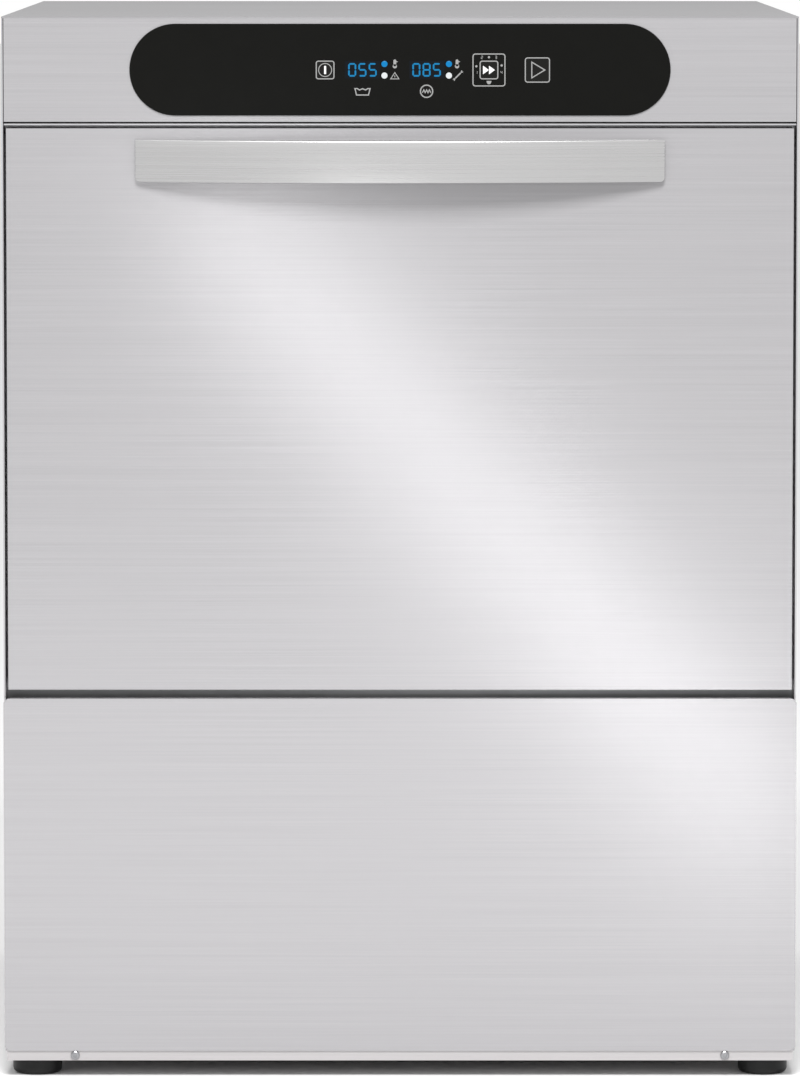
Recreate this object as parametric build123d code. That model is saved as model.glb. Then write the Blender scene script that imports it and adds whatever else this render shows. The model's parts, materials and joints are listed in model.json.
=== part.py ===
from build123d import *
import os

# Front-loading glass washer. Millimetres, +Z up, front faces -Y.
# The origin is on the floor, under the middle of the cabinet.

# Cabinet
CABINET_WIDTH = 600.0
CABINET_DEPTH = 600.0
CABINET_HEIGHT = 806.0
SHEET = 1.2
TRAY_BOTTOM = 13.0
TRAY_PLATE = 2.0
TRAY_RIM_TOP = 32.0
PANEL_BOTTOM = 20.5
LOWER_PANEL_TOP = 290.0
LOWER_PANEL_HALF_WIDTH = 300.5
FASCIA_BOTTOM = 727.0
FASCIA_HALF_WIDTH = 298.2
FLANGE = 12.0

FRONT = -CABINET_DEPTH / 2
REAR = CABINET_DEPTH / 2
HALF_WIDTH = CABINET_WIDTH / 2
INNER_HALF = HALF_WIDTH - SHEET
SKIN_BACK = FRONT + SHEET
REAR_SKIN = REAR - SHEET
COVER_BOTTOM = CABINET_HEIGHT - SHEET
TRAY_TOP = TRAY_BOTTOM + TRAY_PLATE

# Feet
FOOT_X = 277.0
FOOT_Y = 272.0
FOOT_PAD_RADIUS = 18.7
FOOT_PAD_TOP = 12.6
FOOT_STEM_RADIUS = 5.0
FOOT_STEM_TOP = 60.0
FOOT_THREAD_RADIUS = 5.05
FOOT_BOSS_RADIUS = 9.0
FOOT_BOSS_TOP = 28.0

# Door and its hinge line
DOOR_HALF_WIDTH = 296.5
DOOR_BOTTOM = 297.0
DOOR_TOP = 722.0
DOOR_BACK = -270.0
HINGE_Y = -285.0
HINGE_Z = 308.0
HINGE_PIN_RADIUS = 5.0
HINGE_BORE_RADIUS = 5.06
HINGE_EYE_RADIUS = 8.0
HINGE_NOTCH_HALF = 281.0
HINGE_NOTCH_TOP = 335.0
EAR_X = (282.5, 285.0)
SPRING_X = (286.2, 290.2)
BRACKET_X = (291.0, 294.0)
SPRING_RADIUS = 7.2
SPRING_WIRE = 0.8

# Handle
HANDLE_HALF = 199.0
HANDLE_BOW = 26.0
HANDLE_SHEET = 2.5
HANDLE_END = 9.0
HANDLE_Z = (682.0, 713.4)

# Control panel
MEMBRANE_WIDTH = 407.0
MEMBRANE_HEIGHT = 69.0
MEMBRANE_THICKNESS = 1.0
MEMBRANE_Z = 766.2
KEY_Z = 766.0
KEY_GAP = 0.35
KEY_TRAVEL = 0.8
KEY_PROUD = 0.4
KEY_CORNER = 3.0
KEY_SPOTS = {"power": (-56.3, 14.4), "program": (66.9, 14.4), "start": (103.3, 19.3)}
DISPLAY_SPANS = ((-41.5, -15.0), (7.0, 33.5))
DISPLAY_Z = (759.5, 773.0)
LIGHT_SPOTS = ((-11.7, 770.5), (-11.7, 761.8), (36.8, 770.5), (36.8, 761.8))
LIGHT_RADIUS = 2.3
BOARD_FRONT = -290.0
BOARD_THICKNESS = 1.6
WINDOW_FRONT = FRONT - MEMBRANE_THICKNESS + 0.1

# Front frame, wash chamber and tank
FRAME_FRONT = -266.0
FRAME_BACK = FRAME_FRONT + SHEET
OPENING_HALF = 262.8
OPENING_BOTTOM = 322.0
OPENING_TOP = 700.0
SILL_BOTTOM = 270.0
CHAMBER_REAR = 270.0
CEILING_BOTTOM = 716.0
TANK_HALF = 190.0
TANK_BOTTOM = 190.0
TANK_FLOOR_TOP = TANK_BOTTOM + SHEET
DRAIN_SPOT = (120.0, -120.0)
DRAIN_RADIUS = 12.0
DRAIN_WALL = 2.0
DRAIN_JOINT_Z = 170.0
SUCTION_SPOT = (-130.0, 80.0)
SUCTION_RADIUS = 17.0
SUCTION_WALL = 3.0
FILTER_HALF = 205.0
STRAINER_SPOT = (0.0, -120.0)
STRAINER_RADIUS = 44.0
RAIL_TOP = 393.5
RACK_HALF = 250.0
RACK_TOP = 493.5

# Spray arms
ARM_TIP = 235.0
RINSE_TIP = 225.0
ARM_BORE = 8.06
SPINDLE_RADIUS = 8.0
CAP_RADIUS = 12.0
CAP_HEIGHT = 7.6
MANIFOLD_Z = 285.0
MANIFOLD_RADIUS = 16.0

# Pump, boiler and pipes
PUMP_X = -130.0
PUMP_Z = 100.0
PUMP_OUTLET_X = PUMP_X - 70.0
MOTOR_RADIUS = 50.0
MOTOR_Y = (-190.0, -38.0)
VOLUTE_RADIUS = 56.0
VOLUTE_Y = (-38.0, 10.0)
VOLUTE_WALL = 4.0
SHAFT_RADIUS = 6.0
SHAFT_BORE = 6.05
SHAFT_LENGTH = 80.0
OUTLET_RISE = 40.0
PIPE_OUTER = 12.0
PIPE_INNER = 9.5
DELIVERY_Y = 250.0
RISER_Y = 285.0
RINSE_START = 180.0
BOILER_Y = 120.0
BOILER_Z = 103.0
BOILER_RADIUS = 70.0
BOILER_X = (-50.0, 215.0)
BOILER_WALL = 3.0
HEATER_PLUG_RADIUS = 30.0
FILL_RADIUS = 6.5
RINSE_RADIUS = 6.0
RINSE_X = 205.0
HEADER_HALF = 22.0
HEADER_TOP = 778.0
INLET_X = -200.0
INLET_RADIUS = 13.2
INLET_NECK = 11.0
STUB_START = REAR + 1.0
DRAIN_OUTLET_X = 255.0
DRAIN_OUTLET_Z = 50.0
DRAIN_STUB_RADIUS = 11.0
DRAIN_NECK = 10.5
DRAIN_PUMP_HALF = 35.0
PLATE_FRONT = -246.0
GLAND_X = -255.0
GLAND_Z = 60.0
GLAND_BORE = 5.0
GLAND_NECK = 10.0
HEATER_LEGS = (-60.0, 60.0)
HEATER_RADIUS = 4.0
HEATER_Z = 215.0


def block(x, y, z):
    """A box between the low and high values of each axis."""
    middle = Pos((x[0] + x[1]) / 2, (y[0] + y[1]) / 2, (z[0] + z[1]) / 2)
    return middle * Box(x[1] - x[0], y[1] - y[0], z[1] - z[0])


def both_sides(shape):
    """The shape and its mirror image across the middle of the cabinet."""
    return shape + mirror(shape, about=Plane.YZ)


def rod(radius, start, end):
    """A round bar between two points."""
    along = Vector(*end) - Vector(*start)
    bar = Cylinder(radius, along.length, align=(Align.CENTER, Align.CENTER, Align.MIN))
    return Plane(origin=start, z_dir=along) * bar


def upright(radius, spot, z):
    """A vertical round bar at a spot of the plan."""
    return rod(radius, (spot[0], spot[1], z[0]), (spot[0], spot[1], z[1]))


def bent_rod(radius, points, bend):
    """A round bar that follows straight runs with round bends."""
    route = FilletPolyline(*points, radius=bend)
    first = Vector(*points[1]) - Vector(*points[0])
    return sweep(Plane(origin=points[0], z_dir=first) * Circle(radius), path=route)


def bent_tube(outer, inner, points, bend):
    """A hollow pipe along straight runs with round bends."""
    return bent_rod(outer, points, bend) - bent_rod(inner, points, bend)


def facing_front(outline, x, z, y):
    """A flat outline seen from the front, given its thickness between two depths."""
    plane = Plane(origin=(x, y[0], z), x_dir=(1, 0, 0), z_dir=(0, 1, 0))
    return extrude(plane * outline, amount=y[1] - y[0])


def rounded_square(side, corner):
    """A square outline with round corners."""
    return RectangleRounded(side, side, corner)


# Cabinet


def base_tray():
    plate = block((-INNER_HALF, INNER_HALF), (SKIN_BACK, REAR_SKIN), (TRAY_BOTTOM, TRAY_TOP))
    rim = block((-INNER_HALF, INNER_HALF), (SKIN_BACK, REAR_SKIN), (TRAY_TOP, TRAY_RIM_TOP))
    hollow_half = INNER_HALF - TRAY_PLATE
    hollow_y = (SKIN_BACK + TRAY_PLATE, REAR_SKIN - TRAY_PLATE)
    rim -= block((-hollow_half, hollow_half), hollow_y, (TRAY_TOP, TRAY_RIM_TOP))
    tray = plate + rim
    for spot in foot_spots().values():
        tray += upright(FOOT_BOSS_RADIUS, spot, (TRAY_TOP, FOOT_BOSS_TOP))
        tray -= upright(FOOT_THREAD_RADIUS, spot, (TRAY_BOTTOM, FOOT_BOSS_TOP))
    return tray


def foot_spots():
    """The plan position of each foot."""
    return {
        "front_left": (-FOOT_X, -FOOT_Y),
        "front_right": (FOOT_X, -FOOT_Y),
        "rear_left": (-FOOT_X, FOOT_Y),
        "rear_right": (FOOT_X, FOOT_Y),
    }


def foot(spot):
    edge_round = 4.0
    top_round = 1.5
    pad = Cylinder(FOOT_PAD_RADIUS, FOOT_PAD_TOP, align=(Align.CENTER, Align.CENTER, Align.MIN))
    pad = fillet(pad.edges().sort_by(Axis.Z)[0], edge_round)
    pad = fillet(pad.edges().sort_by(Axis.Z)[-1], top_round)
    stem = upright(FOOT_STEM_RADIUS, spot, (FOOT_PAD_TOP, FOOT_STEM_TOP))
    return Pos(spot[0], spot[1], 0) * pad + stem


def side_panel():
    """The left side panel: skin, full-depth front edge, rear and top flanges."""
    door_zone_bottom = LOWER_PANEL_TOP + 2.0
    flange_front = -280.0
    skin = block((-HALF_WIDTH, -INNER_HALF), (SKIN_BACK, REAR_SKIN), (PANEL_BOTTOM, COVER_BOTTOM))
    skin += block((-HALF_WIDTH, -INNER_HALF), (FRONT, SKIN_BACK), (door_zone_bottom, COVER_BOTTOM))
    flange_x = (-INNER_HALF, -INNER_HALF + FLANGE)
    skin += block(flange_x, (REAR_SKIN - SHEET, REAR_SKIN), (TRAY_RIM_TOP, COVER_BOTTOM))
    skin += block(flange_x, (flange_front, REAR_SKIN - SHEET), (COVER_BOTTOM - SHEET, COVER_BOTTOM))
    return skin


def rear_panel():
    louvre_rows = 9
    louvre_pitch = 14.0
    louvre_bottom = 560.0
    louvre_half = 60.0
    louvre_columns = (-90.0, 90.0)
    louvre_height = 4.0
    panel = block((-HALF_WIDTH, HALF_WIDTH), (REAR_SKIN, REAR), (PANEL_BOTTOM, COVER_BOTTOM))
    for row in range(louvre_rows):
        z = louvre_bottom + row * louvre_pitch
        for x in louvre_columns:
            slot_x = (x - louvre_half, x + louvre_half)
            panel -= block(slot_x, (REAR_SKIN, REAR), (z, z + louvre_height))
    panel -= inlet_rod(INLET_NECK, (REAR_SKIN, REAR))
    panel -= drain_rod(DRAIN_NECK, (REAR_SKIN, REAR))
    panel -= gland_rod(GLAND_NECK, (REAR_SKIN, REAR))
    return panel


def top_cover():
    cover = block((-HALF_WIDTH, HALF_WIDTH), (FRONT, REAR), (COVER_BOTTOM, CABINET_HEIGHT))
    channel_x = (-250.0, 250.0)
    channel_half = 20.0
    inner_half = channel_half - SHEET
    channel_bottom = COVER_BOTTOM - FLANGE
    stiffener = block(channel_x, (-channel_half, channel_half), (channel_bottom, COVER_BOTTOM))
    stiffener -= block(channel_x, (-inner_half, inner_half), (channel_bottom, COVER_BOTTOM - SHEET))
    return cover + stiffener


def control_cutouts(y):
    """The openings for keys, displays and lights, cut between two depths."""
    cuts = Part()
    for x, side in KEY_SPOTS.values():
        outline = rounded_square(side + 2 * KEY_GAP, KEY_CORNER + KEY_GAP)
        cuts += facing_front(outline, x, KEY_Z, y)
    for span in DISPLAY_SPANS:
        cuts += block(span, y, DISPLAY_Z)
    for x, z in LIGHT_SPOTS:
        cuts += rod(LIGHT_RADIUS, (x, y[0], z), (x, y[1], z))
    return cuts


def control_fascia():
    top_return_back = -284.0
    bottom_return_back = -250.0
    across = (-FASCIA_HALF_WIDTH, FASCIA_HALF_WIDTH)
    fascia = block(across, (FRONT, SKIN_BACK), (FASCIA_BOTTOM, COVER_BOTTOM))
    fascia += block(across, (SKIN_BACK, top_return_back), (COVER_BOTTOM - SHEET, COVER_BOTTOM))
    fascia += block(across, (SKIN_BACK, bottom_return_back), (FASCIA_BOTTOM, FASCIA_BOTTOM + SHEET))
    return fascia - control_cutouts((FRONT, SKIN_BACK))


def lower_front_panel():
    corner = 3.0
    return_back = -292.0
    height = LOWER_PANEL_TOP - PANEL_BOTTOM
    outline = Rectangle(2 * LOWER_PANEL_HALF_WIDTH, height)
    outline = chamfer(outline.vertices(), corner)
    middle_z = PANEL_BOTTOM + height / 2
    panel = facing_front(outline, 0.0, middle_z, (FRONT, SKIN_BACK))
    lip_half = INNER_HALF - corner
    lip_z = (LOWER_PANEL_TOP - SHEET, LOWER_PANEL_TOP)
    return panel + block((-lip_half, lip_half), (SKIN_BACK, return_back), lip_z)


def front_frame():
    """Welded frame around the door opening: two posts, head, sill and drip lip."""
    leg_back = -236.0
    head_back = -245.0
    lip_z = (724.4, 725.6)
    lip_front = -299.5
    post_z = (TRAY_RIM_TOP, FASCIA_BOTTOM)
    post = block((-INNER_HALF, -OPENING_HALF), (FRAME_FRONT, FRAME_BACK), post_z)
    post += block((-INNER_HALF, -INNER_HALF + SHEET), (FRAME_BACK, leg_back), post_z)
    frame = both_sides(post)
    across = (-OPENING_HALF, OPENING_HALF)
    frame += block(across, (FRAME_FRONT, FRAME_BACK), (OPENING_TOP, FASCIA_BOTTOM))
    frame += block(across, (FRAME_BACK, head_back), (FASCIA_BOTTOM - SHEET, FASCIA_BOTTOM))
    frame += block(across, (FRAME_FRONT, FRAME_BACK), (SILL_BOTTOM, OPENING_BOTTOM))
    return frame + block((-FASCIA_HALF_WIDTH, FASCIA_HALF_WIDTH), (lip_front, FRAME_FRONT), lip_z)


def cabinet_screws():
    head = 2.0
    tray_x = 247.0
    tray_z = 17.0
    tray_radius = 3.4
    rear_x = 285.0
    rear_radius = 4.5
    rear_rows = (80.0, 300.0, 520.0, 740.0)
    screws = rod(tray_radius, (-tray_x, SKIN_BACK - head, tray_z), (-tray_x, SKIN_BACK, tray_z))
    for z in rear_rows:
        screws += rod(rear_radius, (-rear_x, REAR, z), (-rear_x, REAR + head, z))
    return both_sides(screws)


# Control panel


def control_membrane():
    y = (FRONT - MEMBRANE_THICKNESS, FRONT)
    outline = SlotOverall(MEMBRANE_WIDTH, MEMBRANE_HEIGHT)
    return facing_front(outline, 0.0, MEMBRANE_Z, y) - control_cutouts(y)


def key(name):
    """One push key: cap, retaining flange behind the fascia and stem."""
    x, side = KEY_SPOTS[name]
    cap_front = FRONT - MEMBRANE_THICKNESS - KEY_PROUD
    flange_start = SKIN_BACK + 0.4
    flange_y = (flange_start, flange_start + 1.0)
    flange_margin = 3.0
    stem_radius = 2.0
    stem_end = -292.0
    cap = facing_front(rounded_square(side, KEY_CORNER), x, KEY_Z, (cap_front, flange_y[0]))
    flange = facing_front(rounded_square(side + flange_margin, KEY_CORNER), x, KEY_Z, flange_y)
    stem = rod(stem_radius, (x, flange_y[1], KEY_Z), (x, stem_end, KEY_Z))
    return cap + flange + stem


def display_modules():
    y = (WINDOW_FRONT, BOARD_FRONT)
    modules = Part()
    for span in DISPLAY_SPANS:
        modules += block(span, y, DISPLAY_Z)
    return modules


def status_lights():
    guides = Part()
    for x, z in LIGHT_SPOTS:
        guides += rod(LIGHT_RADIUS, (x, WINDOW_FRONT, z), (x, BOARD_FRONT, z))
    return guides


def control_board():
    half_width = 150.0
    board_z = (738.0, 794.0)
    back = BOARD_FRONT + BOARD_THICKNESS
    relay_back = back + 14.0
    relay_width = 18.0
    relay_z = (744.0, 762.0)
    switch_half = 3.0
    switch_height = 1.0
    pillar_radius = 3.0
    board = block((-half_width, half_width), (BOARD_FRONT, back), board_z)
    for x, _ in KEY_SPOTS.values():
        switch_z = (KEY_Z - switch_half, KEY_Z + switch_half)
        switch_y = (BOARD_FRONT - switch_height, BOARD_FRONT)
        board += block((x - switch_half, x + switch_half), switch_y, switch_z)
    for x in (-130.0, -105.0, -80.0, 20.0):
        board += block((x, x + relay_width), (back, relay_back), relay_z)
    for x in (-140.0, 140.0):
        for z in (744.0, 788.0):
            board += rod(pillar_radius, (x, SKIN_BACK, z), (x, BOARD_FRONT, z))
    return board


# Door


def door_outer_panel():
    across = (-DOOR_HALF_WIDTH, DOOR_HALF_WIDTH)
    returns_y = (SKIN_BACK, DOOR_BACK - SHEET)
    pan = block(across, (FRONT, SKIN_BACK), (DOOR_BOTTOM, DOOR_TOP))
    side = block((-DOOR_HALF_WIDTH, -DOOR_HALF_WIDTH + SHEET), returns_y, (DOOR_BOTTOM, DOOR_TOP))
    pan += both_sides(side)
    pan += block(across, returns_y, (DOOR_TOP - SHEET, DOOR_TOP))
    notched = (-HINGE_NOTCH_HALF, HINGE_NOTCH_HALF)
    return pan + block(notched, returns_y, (DOOR_BOTTOM, DOOR_BOTTOM + SHEET))


def door_inner_panel():
    """Liner of the door, with a field pressed towards the outside."""
    bottom = DOOR_BOTTOM + 2.0
    sheet_y = (DOOR_BACK - SHEET, DOOR_BACK)
    field_half = 230.0
    field_z = (370.0, 670.0)
    field_front = -284.0
    field_x = (-field_half, field_half)
    wall_x = (-field_half + SHEET, field_half - SHEET)
    wall_z = (field_z[0] + SHEET, field_z[1] - SHEET)
    liner = block((-DOOR_HALF_WIDTH, DOOR_HALF_WIDTH), sheet_y, (HINGE_NOTCH_TOP, DOOR_TOP))
    liner += block((-HINGE_NOTCH_HALF, HINGE_NOTCH_HALF), sheet_y, (bottom, HINGE_NOTCH_TOP))
    liner += block(field_x, (field_front, DOOR_BACK - SHEET), field_z)
    return liner - block(wall_x, (field_front + SHEET, DOOR_BACK), wall_z)


def bowed_outline(half_length, bow):
    """Plan outline between the door face and a shallow arc in front of it."""
    arc = ThreePointArc((-half_length, FRONT), (0.0, FRONT - bow), (half_length, FRONT))
    chord = Line((half_length, FRONT), (-half_length, FRONT))
    return make_face(Wire([arc, chord]))


def door_handle():
    """Bowed pull, closed on top and open underneath for the fingers."""
    height = HANDLE_Z[1] - HANDLE_Z[0]
    hood = extrude(bowed_outline(HANDLE_HALF, HANDLE_BOW), height)
    room = bowed_outline(HANDLE_HALF - HANDLE_END, HANDLE_BOW - HANDLE_SHEET)
    hood -= extrude(room, height - HANDLE_SHEET)
    return Pos(0, 0, HANDLE_Z[0]) * hood


def hinge_rod(radius, x):
    """A round bar on the hinge line."""
    return rod(radius, (x[0], HINGE_Y, HINGE_Z), (x[1], HINGE_Y, HINGE_Z))


def door_hinge_ears():
    ear_top = 332.0
    ear = block(EAR_X, (SKIN_BACK, HINGE_Y), (HINGE_Z - HINGE_EYE_RADIUS, ear_top))
    ear += hinge_rod(HINGE_EYE_RADIUS, EAR_X)
    return both_sides(ear - hinge_rod(HINGE_BORE_RADIUS, EAR_X))


def hinge_brackets():
    """Bracket with its welded hinge pin, screwed to the front frame."""
    foot_x = (282.0, BRACKET_X[1])
    foot_z = (296.0, 322.0)
    foot_sheet = 2.0
    pin_end = 281.5
    eye_z = (HINGE_Z - HINGE_EYE_RADIUS, HINGE_Z + HINGE_EYE_RADIUS)
    bracket = block(BRACKET_X, (HINGE_Y, FRAME_FRONT), eye_z)
    bracket += hinge_rod(HINGE_EYE_RADIUS, BRACKET_X)
    bracket += block(foot_x, (FRAME_FRONT - foot_sheet, FRAME_FRONT), foot_z)
    bracket += hinge_rod(HINGE_PIN_RADIUS, (pin_end, BRACKET_X[1]))
    return both_sides(bracket)


def door_springs():
    """Torsion spring on each hinge pin that carries part of the door's weight."""
    pitch = 1.9
    length = SPRING_X[1] - SPRING_X[0] - 2 * SPRING_WIRE
    coil = Helix(pitch=pitch, height=length, radius=SPRING_RADIUS)
    wire = Plane(origin=coil @ 0, z_dir=coil % 0) * Circle(SPRING_WIRE)
    spring = sweep(wire, path=coil)
    axle = Plane(origin=(SPRING_X[0] + SPRING_WIRE, HINGE_Y, HINGE_Z), z_dir=(1, 0, 0))
    return both_sides(axle * spring)


def door_gasket():
    seal_x = (268.0, 280.0)
    clearance = 0.3
    seal_y = (DOOR_BACK + clearance, FRAME_FRONT)
    seal_top = (702.0, 714.0)
    leg = block(seal_x, seal_y, (OPENING_BOTTOM, seal_top[1]))
    return both_sides(leg) + block((-seal_x[0], seal_x[0]), seal_y, seal_top)


def door_switch():
    switch_x = (140.0, 165.0)
    switch_back = -250.0
    switch_z = (CEILING_BOTTOM + SHEET, FASCIA_BOTTOM - SHEET)
    return block(switch_x, (FRAME_BACK, switch_back), switch_z)


# Wash chamber


def chamber_wrap():
    """Side and rear walls folded from one sheet."""
    walls_z = (OPENING_BOTTOM, CEILING_BOTTOM)
    outer = OPENING_HALF + SHEET
    wrap = block((-outer, outer), (FRAME_BACK, CHAMBER_REAR + SHEET), walls_z)
    return wrap - block((-OPENING_HALF, OPENING_HALF), (FRAME_BACK, CHAMBER_REAR), walls_z)


def chamber_plate(z):
    """A plate that covers the whole plan of the chamber."""
    outer = OPENING_HALF + SHEET
    return block((-outer, outer), (FRAME_BACK, CHAMBER_REAR + SHEET), z)


def chamber_ceiling():
    plate_z = (CEILING_BOTTOM, CEILING_BOTTOM + SHEET)
    return chamber_plate(plate_z) - upright(MANIFOLD_RADIUS, (0.0, 0.0), plate_z)


def wash_tank():
    """Chamber floor with the pressed tank well, its outlets and heater holes."""
    outer = TANK_HALF + SHEET
    suction_end = 165.0
    tank = chamber_plate((OPENING_BOTTOM - SHEET, OPENING_BOTTOM))
    tank += block((-outer, outer), (-outer, outer), (TANK_BOTTOM, OPENING_BOTTOM))
    tank += upright(SUCTION_RADIUS + SUCTION_WALL, SUCTION_SPOT, (suction_end, TANK_BOTTOM))
    tank += upright(DRAIN_RADIUS + DRAIN_WALL, DRAIN_SPOT, (DRAIN_JOINT_Z, TANK_BOTTOM))
    inside = (-TANK_HALF, TANK_HALF)
    tank -= block(inside, inside, (TANK_FLOOR_TOP, OPENING_BOTTOM))
    tank -= upright(SUCTION_RADIUS, SUCTION_SPOT, (suction_end, TANK_FLOOR_TOP))
    tank -= upright(DRAIN_RADIUS, DRAIN_SPOT, (DRAIN_JOINT_Z, TANK_FLOOR_TOP))
    tank -= rod(MANIFOLD_RADIUS, (0.0, TANK_HALF, MANIFOLD_Z), (0.0, outer, MANIFOLD_Z))
    for x in HEATER_LEGS:
        tank -= rod(HEATER_RADIUS, (x, TANK_HALF, HEATER_Z), (x, outer, HEATER_Z))
    return tank


def tank_heater():
    """Looped element brazed into a flange outside the tank's rear wall."""
    left, right = HEATER_LEGS
    loop_front = -130.0
    loop_bend = 20.0
    wall = TANK_HALF + SHEET
    flange_back = wall + 3.0
    flange_margin = 15.0
    tail = flange_back + 8.0
    z = HEATER_Z
    loop = ((left, tail, z), (left, loop_front, z), (right, loop_front, z), (right, tail, z))
    flange_x = (left - flange_margin, right + flange_margin)
    flange = block(flange_x, (wall, flange_back), (z - flange_margin, z + flange_margin))
    return bent_rod(HEATER_RADIUS, loop, loop_bend) + flange


def rack_rail():
    """The left rail: shelf for the rack and a fixing leg on the wall."""
    rail_y = (-250.0, 258.0)
    shelf_end = -238.0
    leg_drop = 22.0
    shelf = block((-OPENING_HALF, shelf_end), rail_y, (RAIL_TOP - SHEET, RAIL_TOP))
    leg_x = (-OPENING_HALF, -OPENING_HALF + SHEET)
    leg = block(leg_x, rail_y, (RAIL_TOP - leg_drop, RAIL_TOP - SHEET))
    return shelf + leg


def filter_plate():
    """Perforated cover of the tank, with openings for the hub and the strainer."""
    plate_z = (OPENING_BOTTOM, OPENING_BOTTOM + SHEET)
    hub_hole = 20.0
    slot_half = 12.0
    slot_half_width = 1.5
    slot_rows = 11
    slot_start = -150.0
    slot_pitch = 30.0
    plate = block((-FILTER_HALF, FILTER_HALF), (-FILTER_HALF, FILTER_HALF), plate_z)
    plate -= upright(hub_hole, (0.0, 0.0), plate_z)
    plate -= upright(STRAINER_RADIUS, STRAINER_SPOT, plate_z)
    for x in (-165.0, -125.0, -85.0, 85.0, 125.0, 165.0):
        for row in range(slot_rows):
            y = slot_start + row * slot_pitch
            slot_y = (y - slot_half_width, y + slot_half_width)
            plate -= block((x - slot_half, x + slot_half), slot_y, plate_z)
    return plate


def sump_strainer():
    """Lift-out strainer cup with a rim on the filter plate and a grip bar."""
    cup_z = (235.0, OPENING_BOTTOM + SHEET)
    rim_z = (cup_z[1], cup_z[1] + SHEET)
    rim_width = 8.0
    grip_half = 4.0
    grip_height = 4.0
    cup = upright(STRAINER_RADIUS, STRAINER_SPOT, cup_z)
    cup += upright(STRAINER_RADIUS + rim_width, STRAINER_SPOT, rim_z)
    cup -= upright(STRAINER_RADIUS - SHEET, STRAINER_SPOT, (cup_z[0] + SHEET, rim_z[1]))
    x, y = STRAINER_SPOT
    grip_x = (x - STRAINER_RADIUS, x + STRAINER_RADIUS)
    grip_z = (rim_z[0], rim_z[1] + grip_height)
    return cup + block(grip_x, (y - grip_half, y + grip_half), grip_z)


def standpipe():
    """Overflow pipe that plugs into the tank's drain."""
    top = 314.0
    plugged_z = TANK_BOTTOM - 10.0
    wall = 2.0
    seat = 5.0
    pipe = upright(DRAIN_RADIUS, DRAIN_SPOT, (plugged_z, top))
    pipe += upright(DRAIN_RADIUS + seat, DRAIN_SPOT, (TANK_FLOOR_TOP, TANK_FLOOR_TOP + seat))
    return pipe - upright(DRAIN_RADIUS - wall, DRAIN_SPOT, (plugged_z, top))


# Spray system


def lower_manifold():
    """Feed pipe inside the tank, the hub above it and the spindle with its cap."""
    pipe_end = DELIVERY_Y - PIPE_OUTER
    pipe_wall = 2.5
    pipe_bend = 18.0
    bend_top = 318.0
    hub_top = 338.0
    hub_radius = 19.0
    spindle_top = 384.0
    middle = (0.0, 0.0)
    feed = ((0.0, pipe_end, MANIFOLD_Z), (0.0, 0.0, MANIFOLD_Z), (0.0, 0.0, bend_top))
    pipe = bent_tube(MANIFOLD_RADIUS, MANIFOLD_RADIUS - pipe_wall, feed, pipe_bend)
    pipe += upright(hub_radius, middle, (bend_top, hub_top))
    pipe += upright(SPINDLE_RADIUS, middle, (hub_top, spindle_top))
    return pipe + upright(CAP_RADIUS, middle, (spindle_top - CAP_HEIGHT, spindle_top))


def wash_arm(z, nozzle_z):
    """Wide arm across X on a bored hub; nozzles open towards nozzle_z."""
    half_width = 18.0
    hub_radius = 22.0
    below, above = 3.6, 4.0
    nozzle_radius = 2.5
    nozzle_start, nozzle_pitch = 60.0, 38.0
    nozzle_shift = 5.0
    arm_z = (z[0] + below, z[1] - above)
    outline = SlotOverall(2 * ARM_TIP, 2 * half_width)
    arm = Pos(0, 0, arm_z[0]) * extrude(outline, arm_z[1] - arm_z[0])
    arm += upright(hub_radius, (0.0, 0.0), z)
    arm -= upright(ARM_BORE, (0.0, 0.0), z)
    for side in (-1.0, 1.0):
        for step in range(5):
            spot = (side * (nozzle_start + nozzle_pitch * step), side * (step % 2) * nozzle_shift)
            arm -= upright(nozzle_radius, spot, nozzle_z)
    return arm


def rinse_arm(z, nozzle_z):
    """Slim tube arm across Y on a bored hub."""
    radius = 5.0
    hub_radius = 14.0
    nozzle_radius = 1.2
    nozzle_start, nozzle_pitch = 60.0, 45.0
    middle = (z[0] + z[1]) / 2
    arm = rod(radius, (0.0, -RINSE_TIP, middle), (0.0, RINSE_TIP, middle))
    arm += upright(hub_radius, (0.0, 0.0), z)
    arm -= upright(ARM_BORE, (0.0, 0.0), z)
    for side in (-1.0, 1.0):
        for step in range(4):
            spot = (0.0, side * (nozzle_start + nozzle_pitch * step))
            arm -= upright(nozzle_radius, spot, nozzle_z)
    return arm


def upper_spindle():
    """Feed header above the ceiling, hub below it and the spindle with its cap."""
    hub_bottom = 694.0
    spindle_bottom = 648.0
    middle = (0.0, 0.0)
    ceiling_top = CEILING_BOTTOM + SHEET
    square = (-HEADER_HALF, HEADER_HALF)
    header = block(square, square, (ceiling_top, HEADER_TOP))
    header += upright(MANIFOLD_RADIUS, middle, (hub_bottom, ceiling_top))
    header += upright(SPINDLE_RADIUS, middle, (spindle_bottom, hub_bottom))
    return header + upright(CAP_RADIUS, middle, (spindle_bottom, spindle_bottom + CAP_HEIGHT))


def rack_ring(z, bar):
    """Square wire ring of the rack."""
    inner = RACK_HALF - bar
    ring = block((-RACK_HALF, RACK_HALF), (-RACK_HALF, RACK_HALF), z)
    return ring - block((-inner, inner), (-inner, inner), z)


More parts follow.
